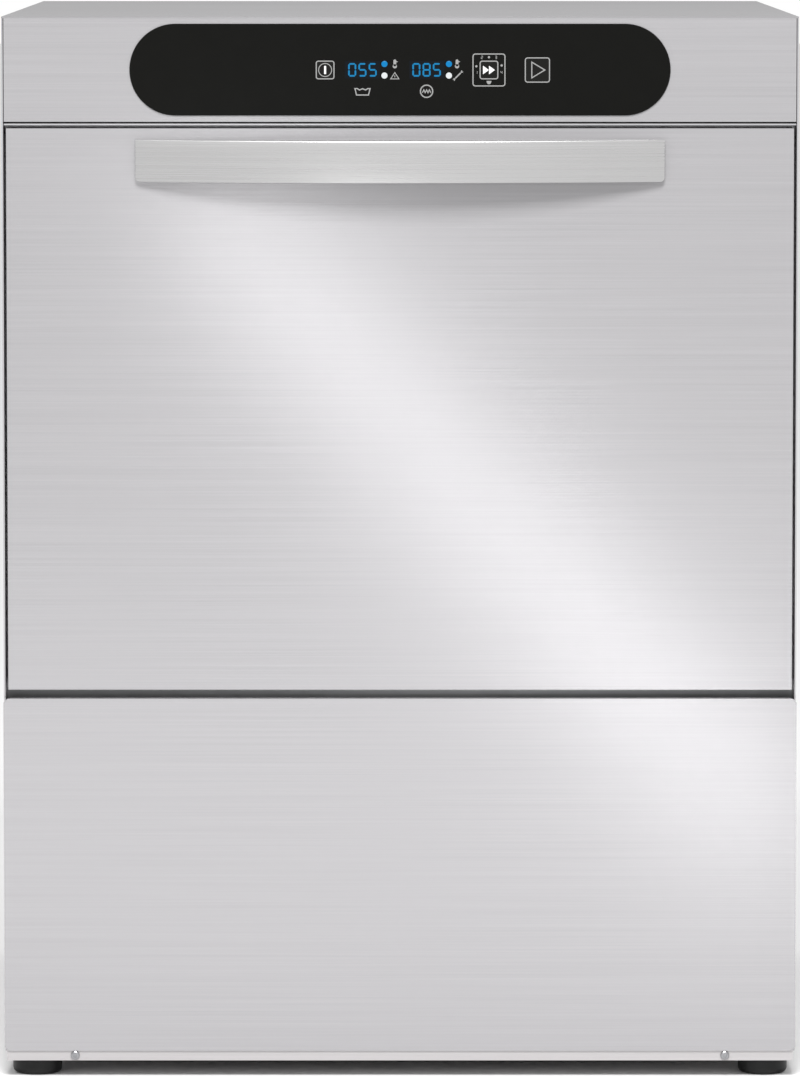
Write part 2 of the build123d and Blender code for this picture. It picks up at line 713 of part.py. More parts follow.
def glass_rack():
    """Coated-wire rack: three rings, wall wires and a grid floor."""
    bar = 6.0
    wire = 4.0
    pitch = 50.0
    middle_ring = 440.0
    inner = RACK_HALF - bar
    rack = rack_ring((RAIL_TOP, RAIL_TOP + bar), bar)
    rack += rack_ring((middle_ring, middle_ring + bar), bar)
    rack += rack_ring((RACK_TOP - bar, RACK_TOP), bar)
    for step in range(-4, 5):
        spot = (step * pitch - wire / 2, step * pitch + wire / 2)
        rack += block(spot, (-inner, inner), (RAIL_TOP, RAIL_TOP + wire))
        rack += block((-inner, inner), spot, (RAIL_TOP, RAIL_TOP + wire))
    for step in range(-4, 5, 2):
        spot = (step * pitch - wire / 2, step * pitch + wire / 2)
        for wall in ((-RACK_HALF, -RACK_HALF + wire), (RACK_HALF - wire, RACK_HALF)):
            rack += block(spot, wall, (RAIL_TOP, RACK_TOP))
            rack += block(wall, spot, (RAIL_TOP, RACK_TOP))
    return rack


# Pump, boiler and water circuits


def pump_rod(radius, y):
    """A round bar on the pump's shaft line."""
    return rod(radius, (PUMP_X, y[0], PUMP_Z), (PUMP_X, y[1], PUMP_Z))


def wash_pump_housing():
    inlet_y = (VOLUTE_Y[1], 35.0)
    shaft_gap = 0.4
    room_y = (VOLUTE_Y[0] + VOLUTE_WALL, VOLUTE_Y[1] - VOLUTE_WALL)
    middle = (VOLUTE_Y[0] + VOLUTE_Y[1]) / 2
    outlet_z = PUMP_Z + OUTLET_RISE
    outlet_start = (PUMP_X, middle, outlet_z)
    outlet_end = (PUMP_OUTLET_X, middle, outlet_z)
    housing = pump_rod(VOLUTE_RADIUS, VOLUTE_Y) + pump_rod(SUCTION_RADIUS + SUCTION_WALL, inlet_y)
    housing += rod(PIPE_OUTER, outlet_start, outlet_end)
    housing -= pump_rod(VOLUTE_RADIUS - VOLUTE_WALL, room_y)
    housing -= pump_rod(SUCTION_RADIUS, (room_y[1], inlet_y[1]))
    housing -= rod(PIPE_INNER, outlet_start, outlet_end)
    return housing - pump_rod(SHAFT_RADIUS + shaft_gap, (VOLUTE_Y[0], room_y[0]))


def wash_pump_motor():
    """Motor on a cradle that stands on the base tray."""
    bore_depth = SHAFT_LENGTH + 2.0
    cradle_half = 40.0
    cradle_top = 70.0
    motor = pump_rod(MOTOR_RADIUS, MOTOR_Y)
    for y in ((-180.0, -150.0), (-80.0, -50.0)):
        motor += block((PUMP_X - cradle_half, PUMP_X + cradle_half), y, (TRAY_TOP, cradle_top))
    return motor - pump_rod(SHAFT_BORE, (MOTOR_Y[1] - bore_depth, MOTOR_Y[1]))


def pump_impeller():
    """Shaft, backing disc and curved-back blades as one turning piece."""
    disc_y = (-26.0, -22.0)
    blade_y = (-22.0, -6.0)
    disc_radius = 44.0
    blade_size = (30.0, 3.0, blade_y[1] - blade_y[0])
    blade_middle = 27.0
    blade_sweep = 25.0
    blades = 6
    rotor = pump_rod(SHAFT_RADIUS, (MOTOR_Y[1] - SHAFT_LENGTH, blade_y[1]))
    rotor += pump_rod(disc_radius, disc_y)
    for turn in range(blades):
        blade = Pos(blade_middle, 0, 0) * Rot(0, 0, blade_sweep) * Box(*blade_size)
        blade = Rot(0, 0, turn * 360.0 / blades) * blade
        spot = Plane(origin=(PUMP_X, (blade_y[0] + blade_y[1]) / 2, PUMP_Z), z_dir=(0, 1, 0))
        rotor += spot * blade
    return rotor


def suction_hose():
    x, y = SUCTION_SPOT
    top = TANK_BOTTOM - 2.0
    front = VOLUTE_Y[1] + 2.0
    inner = SUCTION_RADIUS + SUCTION_WALL
    route = ((x, y, top), (x, y, PUMP_Z), (x, front, PUMP_Z))
    return bent_tube(inner + SUCTION_WALL, inner, route, 32.0)


def wash_delivery_pipe():
    """From the pump past the lower manifold and up behind the chamber to the header."""
    start_x = PUMP_OUTLET_X
    start_y = (VOLUTE_Y[0] + VOLUTE_Y[1]) / 2
    start_z = PUMP_Z + OUTLET_RISE
    side_x = -235.0
    cross_y = DELIVERY_Y
    riser_x = 60.0
    riser_y = RISER_Y
    header_z = 745.0
    route = (
        (start_x, start_y, start_z),
        (side_x, start_y, start_z),
        (side_x, start_y, MANIFOLD_Z),
        (side_x, cross_y, MANIFOLD_Z),
        (riser_x, cross_y, MANIFOLD_Z),
        (riser_x, riser_y, MANIFOLD_Z),
        (riser_x, riser_y, header_z),
        (riser_x, 0.0, header_z),
        (HEADER_HALF, 0.0, header_z),
    )
    return bent_tube(PIPE_OUTER, PIPE_INNER, route, 16.0)


def boiler_rod(radius, x):
    """A round bar on the boiler's long axis."""
    return rod(radius, (x[0], BOILER_Y, BOILER_Z), (x[1], BOILER_Y, BOILER_Z))


def rinse_boiler():
    """Rinse-water boiler lying on two saddles, with fill and outlet spigots."""
    fill_end = (0.0, 200.0, BOILER_Z)
    outlet_end = (RINSE_X, BOILER_Y, RINSE_START)
    saddle_y = (BOILER_Y - 40.0, BOILER_Y + 40.0)
    saddle_top = 60.0
    inner_x = (BOILER_X[0] + BOILER_WALL, BOILER_X[1] - BOILER_WALL)
    boiler = boiler_rod(BOILER_RADIUS, BOILER_X)
    for x in ((-25.0, 0.0), (160.0, 185.0)):
        boiler += block(x, saddle_y, (TRAY_TOP, saddle_top))
    boiler += rod(FILL_RADIUS, (0.0, BOILER_Y, BOILER_Z), fill_end)
    boiler += rod(RINSE_RADIUS, (RINSE_X, BOILER_Y, BOILER_Z), outlet_end)
    boiler -= boiler_rod(BOILER_RADIUS - BOILER_WALL, inner_x)
    return boiler - boiler_rod(HEATER_PLUG_RADIUS, (BOILER_X[0], inner_x[0]))


def boiler_heater():
    """Looped element with its flange on the boiler's end."""
    tail_x = BOILER_X[0] - 16.0
    flange_x = (BOILER_X[0] - 6.0, BOILER_X[0])
    flange_radius = 40.0
    loop_end = 170.0
    loop_half = 15.0
    loop_bend = 12.0
    near, far = BOILER_Y - loop_half, BOILER_Y + loop_half
    route = (
        (tail_x, near, BOILER_Z),
        (loop_end, near, BOILER_Z),
        (loop_end, far, BOILER_Z),
        (tail_x, far, BOILER_Z),
    )
    heater = bent_rod(HEATER_RADIUS, route, loop_bend) + boiler_rod(flange_radius, flange_x)
    return heater + boiler_rod(HEATER_PLUG_RADIUS, (BOILER_X[0], BOILER_X[0] + BOILER_WALL))


def inlet_rod(radius, y):
    """A round bar on the water inlet's axis."""
    return rod(radius, (INLET_X, y[0], BOILER_Z), (INLET_X, y[1], BOILER_Z))


def inlet_valve():
    """Solenoid valve on the rear panel with a threaded water inlet."""
    body_half = (22.0, 21.0)
    body_y = (252.0, REAR_SKIN)
    coil_half = 14.0
    coil_y = (258.0, 288.0)
    coil_top = BOILER_Z + 50.0
    spigot_end = 238.0
    way_radius = 9.0
    way_start = REAR - 10.0
    thread_end = STUB_START + 18.0
    body_top = BOILER_Z + body_half[1]
    body_x = (INLET_X - body_half[0], INLET_X + body_half[0])
    valve = block(body_x, body_y, (BOILER_Z - body_half[1], body_top))
    valve += block((INLET_X - coil_half, INLET_X + coil_half), coil_y, (body_top, coil_top))
    valve += inlet_rod(FILL_RADIUS, (spigot_end, body_y[0]))
    valve += inlet_rod(INLET_NECK, (REAR_SKIN, STUB_START))
    valve += inlet_rod(INLET_RADIUS, (STUB_START, thread_end))
    return valve - inlet_rod(way_radius, (way_start, thread_end))


def boiler_fill_hose():
    run_y = 222.0
    route = (
        (INLET_X, 250.0, BOILER_Z),
        (INLET_X, run_y, BOILER_Z),
        (0.0, run_y, BOILER_Z),
        (0.0, 192.0, BOILER_Z),
    )
    return bent_tube(FILL_RADIUS + 2.5, FILL_RADIUS, route, 12.0)


def rinse_pipe():
    """From the boiler up behind the chamber to the header."""
    turn_z = 255.0
    header_z = 765.0
    wall = 1.5
    route = (
        (RINSE_X, BOILER_Y, RINSE_START),
        (RINSE_X, BOILER_Y, turn_z),
        (RINSE_X, RISER_Y, turn_z),
        (RINSE_X, RISER_Y, header_z),
        (0.0, RISER_Y, header_z),
        (0.0, HEADER_HALF, header_z),
    )
    return bent_tube(RINSE_RADIUS, RINSE_RADIUS - wall, route, 14.0)


def drain_pump():
    """Drain pump under the tank's drain outlet."""
    x, y = DRAIN_SPOT
    half = DRAIN_PUMP_HALF
    body_top = 100.0
    well_bottom = 80.0
    spigot = 25.0
    pump = block((x - half, x + half), (y - half, y + half), (TRAY_TOP, body_top))
    pump += upright(DRAIN_RADIUS + DRAIN_WALL, DRAIN_SPOT, (body_top, DRAIN_JOINT_Z))
    pump += rod(PIPE_INNER, (x + half, y, DRAIN_OUTLET_Z), (x + half + spigot, y, DRAIN_OUTLET_Z))
    return pump - upright(DRAIN_RADIUS, DRAIN_SPOT, (well_bottom, DRAIN_JOINT_Z))


def drain_rod(radius, y):
    """A round bar on the drain outlet's axis."""
    return rod(radius, (DRAIN_OUTLET_X, y[0], DRAIN_OUTLET_Z), (DRAIN_OUTLET_X, y[1], DRAIN_OUTLET_Z))


def drain_hose():
    """From the drain pump to the outlet stub behind the rear panel."""
    x, y = DRAIN_SPOT
    hose_end = REAR - 10.0
    stub_end = REAR + HANDLE_BOW
    route = (
        (x + DRAIN_PUMP_HALF + 2.0, y, DRAIN_OUTLET_Z),
        (DRAIN_OUTLET_X, y, DRAIN_OUTLET_Z),
        (DRAIN_OUTLET_X, hose_end, DRAIN_OUTLET_Z),
    )
    hose = bent_tube(PIPE_OUTER, PIPE_INNER, route, 30.0)
    hose += drain_rod(DRAIN_NECK, (hose_end, STUB_START))
    hose += drain_rod(DRAIN_STUB_RADIUS, (STUB_START, stub_end))
    return hose - drain_rod(PIPE_INNER, (hose_end, stub_end))


def dosing_pumps():
    """Detergent and rinse-aid pumps, side by side on the tray."""
    body_x = (-286.0, -240.0)
    body_half = 24.0
    body_top = 92.0
    head_radius, head_end, head_z = 18.0, -226.0, 66.0
    tube_x, tube_radius, tube_top = -234.0, 3.0, 108.0
    pumps = Part()
    for middle in (-225.0, -165.0):
        pumps += block(body_x, (middle - body_half, middle + body_half), (TRAY_TOP, body_top))
        pumps += rod(head_radius, (body_x[1], middle, head_z), (head_end, middle, head_z))
        for offset in (-10.0, 10.0):
            pumps += upright(tube_radius, (tube_x, middle + offset), (head_z, tube_top))
    return pumps


def electrical_plate():
    plate_x = (60.0, 255.0)
    plate_back = PLATE_FRONT + SHEET
    plate_top = 262.0
    foot_back = -225.0
    plate = block(plate_x, (PLATE_FRONT, plate_back), (TRAY_TOP, plate_top))
    return plate + block(plate_x, (plate_back, foot_back), (TRAY_TOP, TRAY_TOP + SHEET))


def contactors():
    """Switching devices and the supply terminal strip."""
    device_width = 44.0
    device_y = (-288.0, PLATE_FRONT)
    device_z = (150.0, 230.0)
    strip_y = (-270.0, PLATE_FRONT)
    strip_z = (70.0, 98.0)
    lefts = (72.0, 122.0, 172.0)
    devices = Part()
    for x in lefts:
        devices += block((x, x + device_width), device_y, device_z)
    return devices + block((lefts[0], lefts[-1] + device_width), strip_y, strip_z)


def gland_rod(radius, y):
    """A round bar on the cable gland's axis."""
    return rod(radius, (GLAND_X, y[0], GLAND_Z), (GLAND_X, y[1], GLAND_Z))


def cable_gland():
    nut = RegularPolygon(14.0, 6)
    start = REAR - 10.0
    inner_nut_start = REAR - 8.0
    nut_end = REAR + 8.0
    dome_end = REAR + 18.0
    dome_radius = 9.5
    gland = gland_rod(GLAND_NECK, (start, nut_end))
    gland += facing_front(nut, GLAND_X, GLAND_Z, (REAR, nut_end))
    gland += facing_front(nut, GLAND_X, GLAND_Z, (inner_nut_start, REAR_SKIN))
    gland += gland_rod(dome_radius, (nut_end, dome_end))
    return gland - gland_rod(GLAND_BORE, (start, dome_end))


def nodes():
    """Every piece of the machine by its node name."""
    left_panel = side_panel()
    left_rail = rack_rail()
    lower_wash = wash_arm((338.4, 362.0), (352.0, 358.0))
    lower_rinse = rinse_arm((362.4, 376.0), (370.0, 376.0))
    upper_wash = wash_arm((670.0, 693.6), (673.0, 679.0))
    upper_rinse = rinse_arm((656.0, 669.6), (656.0, 662.0))
    pieces = {
        "base_tray": base_tray(),
        "side_panel_left": left_panel,
        "side_panel_right": mirror(left_panel, about=Plane.YZ),
        "rear_panel": rear_panel(),
        "top_cover": top_cover(),
        "control_fascia": control_fascia(),
        "lower_front_panel": lower_front_panel(),
        "front_frame": front_frame(),
        "cabinet_screws": cabinet_screws(),
        "control_membrane": control_membrane(),
        "power_key": key("power"),
        "program_key": key("program"),
        "start_key": key("start"),
        "display_modules": display_modules(),
        "status_lights": status_lights(),
        "control_board": control_board(),
        "door_outer_panel": door_outer_panel(),
        "door_inner_panel": door_inner_panel(),
        "door_handle": door_handle(),
        "door_hinge_ears": door_hinge_ears(),
        "hinge_brackets": hinge_brackets(),
        "door_springs": door_springs(),
        "door_gasket": door_gasket(),
        "door_switch": door_switch(),
        "chamber_wrap": chamber_wrap(),
        "chamber_ceiling": chamber_ceiling(),
        "wash_tank": wash_tank(),
        "tank_heater": tank_heater(),
        "rack_rail_left": left_rail,
        "rack_rail_right": mirror(left_rail, about=Plane.YZ),
        "filter_plate": filter_plate(),
        "sump_strainer": sump_strainer(),
        "standpipe": standpipe(),
        "lower_manifold": lower_manifold(),
        "lower_wash_arm": lower_wash,
        "lower_rinse_arm": lower_rinse,
        "upper_spindle": upper_spindle(),
        "upper_wash_arm": upper_wash,
        "upper_rinse_arm": upper_rinse,
        "glass_rack": glass_rack(),
        "wash_pump_housing": wash_pump_housing(),
        "wash_pump_motor": wash_pump_motor(),
        "pump_impeller": pump_impeller(),
        "suction_hose": suction_hose(),
        "wash_delivery_pipe": wash_delivery_pipe(),
        "rinse_boiler": rinse_boiler(),
        "boiler_heater": boiler_heater(),
        "inlet_valve": inlet_valve(),
        "boiler_fill_hose": boiler_fill_hose(),
        "rinse_pipe": rinse_pipe(),
        "drain_pump": drain_pump(),
        "drain_hose": drain_hose(),
        "dosing_pumps": dosing_pumps(),
        "electrical_plate": electrical_plate(),
        "contactors": contactors(),
        "cable_gland": cable_gland(),
    }
    for name, spot in foot_spots().items():
        pieces["foot_" + name] = foot(spot)
    return pieces


os.makedirs("parts", exist_ok=True)
for node, shape in nodes().items():
    export_step(shape, f"parts/{node}.step")
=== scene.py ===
"""Looks of a front-loading glass washer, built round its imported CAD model.

Metres, +Z up, the door and the control panel face -Y, +X is on the right.
"""

import json
import logging
import math
from collections.abc import Iterable, Sequence
from dataclasses import dataclass, field
from enum import Enum

import bmesh
import bpy
from mathutils import Matrix, Vector

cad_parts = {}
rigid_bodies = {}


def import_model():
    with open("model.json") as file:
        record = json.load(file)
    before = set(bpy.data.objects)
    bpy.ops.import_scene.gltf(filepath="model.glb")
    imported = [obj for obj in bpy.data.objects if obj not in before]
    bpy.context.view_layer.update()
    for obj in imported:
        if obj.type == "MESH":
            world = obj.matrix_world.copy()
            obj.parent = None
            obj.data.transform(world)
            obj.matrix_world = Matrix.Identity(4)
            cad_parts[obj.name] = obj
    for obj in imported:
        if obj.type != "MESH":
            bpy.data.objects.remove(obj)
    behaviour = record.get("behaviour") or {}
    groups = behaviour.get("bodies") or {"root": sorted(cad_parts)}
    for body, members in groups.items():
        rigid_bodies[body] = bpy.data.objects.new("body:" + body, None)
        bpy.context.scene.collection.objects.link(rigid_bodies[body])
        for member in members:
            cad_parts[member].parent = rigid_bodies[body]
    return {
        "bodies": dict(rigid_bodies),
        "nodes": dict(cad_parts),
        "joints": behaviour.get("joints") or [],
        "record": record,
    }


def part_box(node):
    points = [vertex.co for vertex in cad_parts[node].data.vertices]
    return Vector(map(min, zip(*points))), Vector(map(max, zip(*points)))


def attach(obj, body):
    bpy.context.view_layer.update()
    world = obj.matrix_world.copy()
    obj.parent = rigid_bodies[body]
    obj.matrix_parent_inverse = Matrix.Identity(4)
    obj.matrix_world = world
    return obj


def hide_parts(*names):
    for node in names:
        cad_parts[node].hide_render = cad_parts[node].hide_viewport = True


logging.basicConfig(level=logging.INFO, format="%(message)s")
log = logging.getLogger("glass_washer")

MM = 0.001

Material = bpy.types.Material
Flat = tuple[float, float]
Colour = tuple[float, float, float]
Point = tuple[float, float, float]
Ring = list[Point]

STEEL: Colour = (0.318, 0.313, 0.321)


class Grain(Enum):
    """Direction in which a sheet was brushed, as the streaks' density along X, Y and Z.

    BOWED leaves out the depth, so that streaks stay whole on a sheet that curves towards the front.
    TURNED has no direction.
    """

    ACROSS = (0.2, 50.0, 50.0)
    BOWED = (0.2, 0.0, 50.0)
    DEEP = (50.0, 0.2, 50.0)
    TURNED = (8.0, 8.0, 8.0)


class Side(Enum):
    """Left or right of the machine, seen from the front."""

    LEFT = -1.0
    RIGHT = 1.0


# Shader building


class Signal:
    """One output of a node tree, on which plain arithmetic adds Math nodes."""

    def __init__(self, recipe: "Recipe", socket: bpy.types.NodeSocket) -> None:
        """Wraps a socket.

        Args:
            recipe: the node tree that the socket belongs to.
            socket: the output to work with.
        """
        self.recipe = recipe
        self.socket = socket

    def _math(self, operation: str, first: "Signal | float", second: "Signal | float") -> "Signal":
        """Adds one Math node.

        Args:
            operation: the Math node's operation.
            first: its first value.
            second: its second value.

        Returns:
            The node's result.
        """
        return self.recipe.add("ShaderNodeMath", {"operation": operation}, {0: first, 1: second})[0]

    def __add__(self, other: "Signal | float") -> "Signal":
        """Sum."""
        return self._math("ADD", self, other)

    __radd__ = __add__

    def __mul__(self, other: "Signal | float") -> "Signal":
        """Product."""
        return self._math("MULTIPLY", self, other)

    __rmul__ = __mul__

    def __sub__(self, other: "Signal | float") -> "Signal":
        """Difference."""
        return self._math("SUBTRACT", self, other)

    def __rsub__(self, other: float) -> "Signal":
        """Difference from a number."""
        return self._math("SUBTRACT", other, self)

    def __gt__(self, other: float) -> "Signal":
        """One where the value is above the other, and zero elsewhere."""
        return self._math("GREATER_THAN", self, other)


class Recipe:
    """The node tree of one material."""

    def __init__(self, name: str) -> None:
        """Starts an empty material.

        Args:
            name: the material's name.
        """
        self.material = bpy.data.materials.new(name)
        self.material.use_nodes = True
        self.tree = self.material.node_tree
        self.tree.nodes.clear()

    def add(self, kind: str, settings: dict, inputs: dict) -> list[Signal]:
        """Adds a node, sets it up and wires it.

        Args:
            kind: the node's type.
            settings: attributes set before the sockets.
            inputs: socket name or number to a value or a Signal.

        Returns:
            The node's outputs, in order.
        """
        node = self.tree.nodes.new(kind)
        for key, value in settings.items():
            setattr(node, key, value)
        for key, value in inputs.items():
            if isinstance(value, Signal):
                self.tree.links.new(value.socket, node.inputs[key])
            else:
                node.inputs[key].default_value = value
        return [Signal(self, out) for out in node.outputs]

    def place(self) -> Signal:
        """The point on the object, in metres, in the object's own axes."""
        return self.add("ShaderNodeTexCoord", {}, {})[3]

    def stretched(self, stretch: Point) -> Signal:
        """The point on the object, scaled along each axis.

        Args:
            stretch: the scale along X, Y and Z.

        Returns:
            The scaled point.
        """
        return self.add("ShaderNodeVectorMath", {"operation": "MULTIPLY"}, {0: self.place(), 1: stretch})[0]

    def noise(self, place: Signal, scale: float, detail: float) -> Signal:
        """A noise value from 0 to 1.

        Args:
            place: the point to read it at.
            scale: waves per metre.
            detail: the number of finer layers.

        Returns:
            The noise.
        """
        inputs = {"Vector": place, "Scale": scale, "Detail": detail, "Roughness": 0.6}
        return self.add("ShaderNodeTexNoise", {}, inputs)[0]

    def blend(self, amount: Signal, first: Colour, second: Colour) -> Signal:
        """A colour between two colours.

        Args:
            amount: 0 for the first, 1 for the second.
            first: the colour at 0.
            second: the colour at 1.

        Returns:
            The mixed colour.
        """
        inputs = {"Factor": amount, 6: (*first, 1.0), 7: (*second, 1.0)}
        return self.add("ShaderNodeMix", {"data_type": "RGBA"}, inputs)[2]

    def bump(self, height: Signal, strength: float, distance: float) -> Signal:
        """A normal disturbed by a height.

        Args:
            height: the height, from 0 to 1.
            strength: how much of it shows.
            distance: the depth of the relief, in metres.

        Returns:
            The normal.
        """
        inputs = {"Strength": strength, "Distance": distance, "Height": height}
        return self.add("ShaderNodeBump", {}, inputs)[0]

    def finish(self, inputs: dict) -> Material:
        """Ends the tree in a Principled surface.

        Args:
            inputs: the surface's socket values and links.

        Returns:
            The material.
        """
        surface = self.add("ShaderNodeBsdfPrincipled", {}, inputs)[0]
        self.add("ShaderNodeOutputMaterial", {}, {"Surface": surface})
        return self.material


def tinted(colour: Colour, factor: float) -> Colour:
    """A lighter or darker version of a colour.

    Args:
        colour: the colour.
        factor: above 1 for lighter, below 1 for darker.

    Returns:
        The changed colour.
    """
    red, green, blue = colour
    return (red * factor, green * factor, blue * factor)


# Finishes


@dataclass(frozen=True)
class BrushedSteel:
    """Stainless sheet with fine parallel brush marks and faint cloudy wear."""

    name: str
    colour: Colour
    grain: Grain
    roughness: float
    streak: float = 0.16
    relief: float = 0.12
    metallic: float = 0.52
    edge_tint: float = 1.0
    fine_scale: float = 22.0
    coarse_scale: float = 7.0
    cloud_scale: float = 5.0
    fine_share: float = 0.65
    groove: float = 0.4 * MM

    def make(self) -> Material:
        """Builds the material."""
        recipe = Recipe(self.name)
        along = recipe.stretched(self.grain.value)
        fine = recipe.noise(along, self.fine_scale, 4.0)
        coarse = recipe.noise(along, self.coarse_scale, 2.0)
        clouds = recipe.noise(recipe.place(), self.cloud_scale, 3.0)
        lines = self.fine_share * fine + (1.0 - self.fine_share) * coarse
        dark, light = tinted(self.colour, 1.0 - self.streak), tinted(self.colour, 1.0 + self.streak)
        roughness = self.roughness + 0.10 * (lines - 0.5) + 0.05 * (clouds - 0.5)
        return recipe.finish(
            {
                "Base Color": recipe.blend(lines, dark, light),
                "Metallic": self.metallic,
                "Roughness": roughness,
                "Specular IOR Level": 0.2,
                "Specular Tint": (self.edge_tint, self.edge_tint, self.edge_tint, 1.0),
                "Normal": recipe.bump(fine, self.relief, self.groove),
            }
        )


@dataclass(frozen=True)
class GlossPlastic:
    """Smooth plastic with a clear top layer and very faint waviness."""

    name: str
    colour: Colour
    roughness: float = 0.25
    coat: float = 0.0
    reflectance: float = 0.08

    def make(self) -> Material:
        """Builds the material."""
        recipe = Recipe(self.name)
        dust = recipe.noise(recipe.place(), 60.0, 4.0)
        wave = recipe.noise(recipe.place(), 14.0, 1.0)
        return recipe.finish(
            {
                "Base Color": recipe.blend(dust, tinted(self.colour, 0.92), tinted(self.colour, 1.10)),
                "Roughness": self.roughness + 0.06 * (dust - 0.5),
                "Specular IOR Level": self.reflectance,
                "Coat Weight": self.coat,
                "Coat Roughness": 0.08,
                "Normal": recipe.bump(wave, 0.04, 0.002),
            }
        )


@dataclass(frozen=True)
class MouldedPlastic:
    """Plastic or rubber with a fine moulded texture."""

    name: str
    colour: Colour
    roughness: float = 0.55
    texture: float = 900.0
    relief: float = 0.25
    reflectance: float = 0.25

    def make(self) -> Material:
        """Builds the material."""
        recipe = Recipe(self.name)
        speck = recipe.noise(recipe.place(), self.texture, 3.0)
        scuff = recipe.noise(recipe.place(), 18.0, 4.0)
        return recipe.finish(
            {
                "Base Color": recipe.blend(scuff, tinted(self.colour, 0.85), tinted(self.colour, 1.2)),
                "Roughness": self.roughness + 0.12 * (scuff - 0.5),
                "Specular IOR Level": self.reflectance,
                "Normal": recipe.bump(speck, self.relief, 0.0003),
            }
        )


@dataclass(frozen=True)
class PlainMetal:
    """Machined, plated or drawn metal with soft handling marks."""

    name: str
    colour: Colour
    roughness: float = 0.22

    def make(self) -> Material:
        """Builds the material."""
        recipe = Recipe(self.name)
        marks = recipe.noise(recipe.place(), 70.0, 5.0)
        return recipe.finish(
            {
                "Base Color": recipe.blend(marks, tinted(self.colour, 0.92), tinted(self.colour, 1.05)),
                "Metallic": 1.0,
                "Roughness": self.roughness + 0.14 * (marks - 0.5),
                "Normal": recipe.bump(marks, 0.05, 0.0004),
            }
        )


@dataclass(frozen=True)
class CircuitBoard:
    """Green board lacquer with faint copper tracks below it."""

    name: str

    def make(self) -> Material:
        """Builds the material."""
        recipe = Recipe(self.name)
        tracks = recipe.noise(recipe.stretched((1.0, 1.0, 3.0)), 90.0, 0.0) > 0.55
        return recipe.finish(
            {
                "Base Color": recipe.blend(tracks, (0.01, 0.10, 0.04), (0.03, 0.20, 0.08)),
                "Roughness": 0.35 + 0.1 * tracks,
                "Normal": recipe.bump(tracks, 0.2, 0.0001),
            }
        )


@dataclass(frozen=True)
class PrintedInk:
    """Thin screen-printed ink, slightly uneven in cover."""

    name: str
    colour: Colour

    def make(self) -> Material:
        """Builds the material."""
        recipe = Recipe(self.name)
        cover = recipe.noise(recipe.place(), 2500.0, 2.0)
        return recipe.finish(
            {
                "Base Color": recipe.blend(cover, tinted(self.colour, 0.9), self.colour),
                "Roughness": 0.45 + 0.1 * cover,
            }
        )


@dataclass(frozen=True)
class LitMark:
    """Lit segment or lamp behind the dark panel."""

    name: str
    colour: Colour
    strength: float

    def make(self) -> Material:
        """Builds the material."""
        recipe = Recipe(self.name)
        glow = recipe.noise(recipe.place(), 400.0, 1.0)
        return recipe.finish(
            {
                "Base Color": (*tinted(self.colour, 0.05), 1.0),
                "Roughness": 0.3,
                "Specular IOR Level": 0.1,
                "Emission Color": recipe.blend(glow, tinted(self.colour, 0.92), tinted(self.colour, 1.05)),
                "Emission Strength": self.strength,
            }
        )


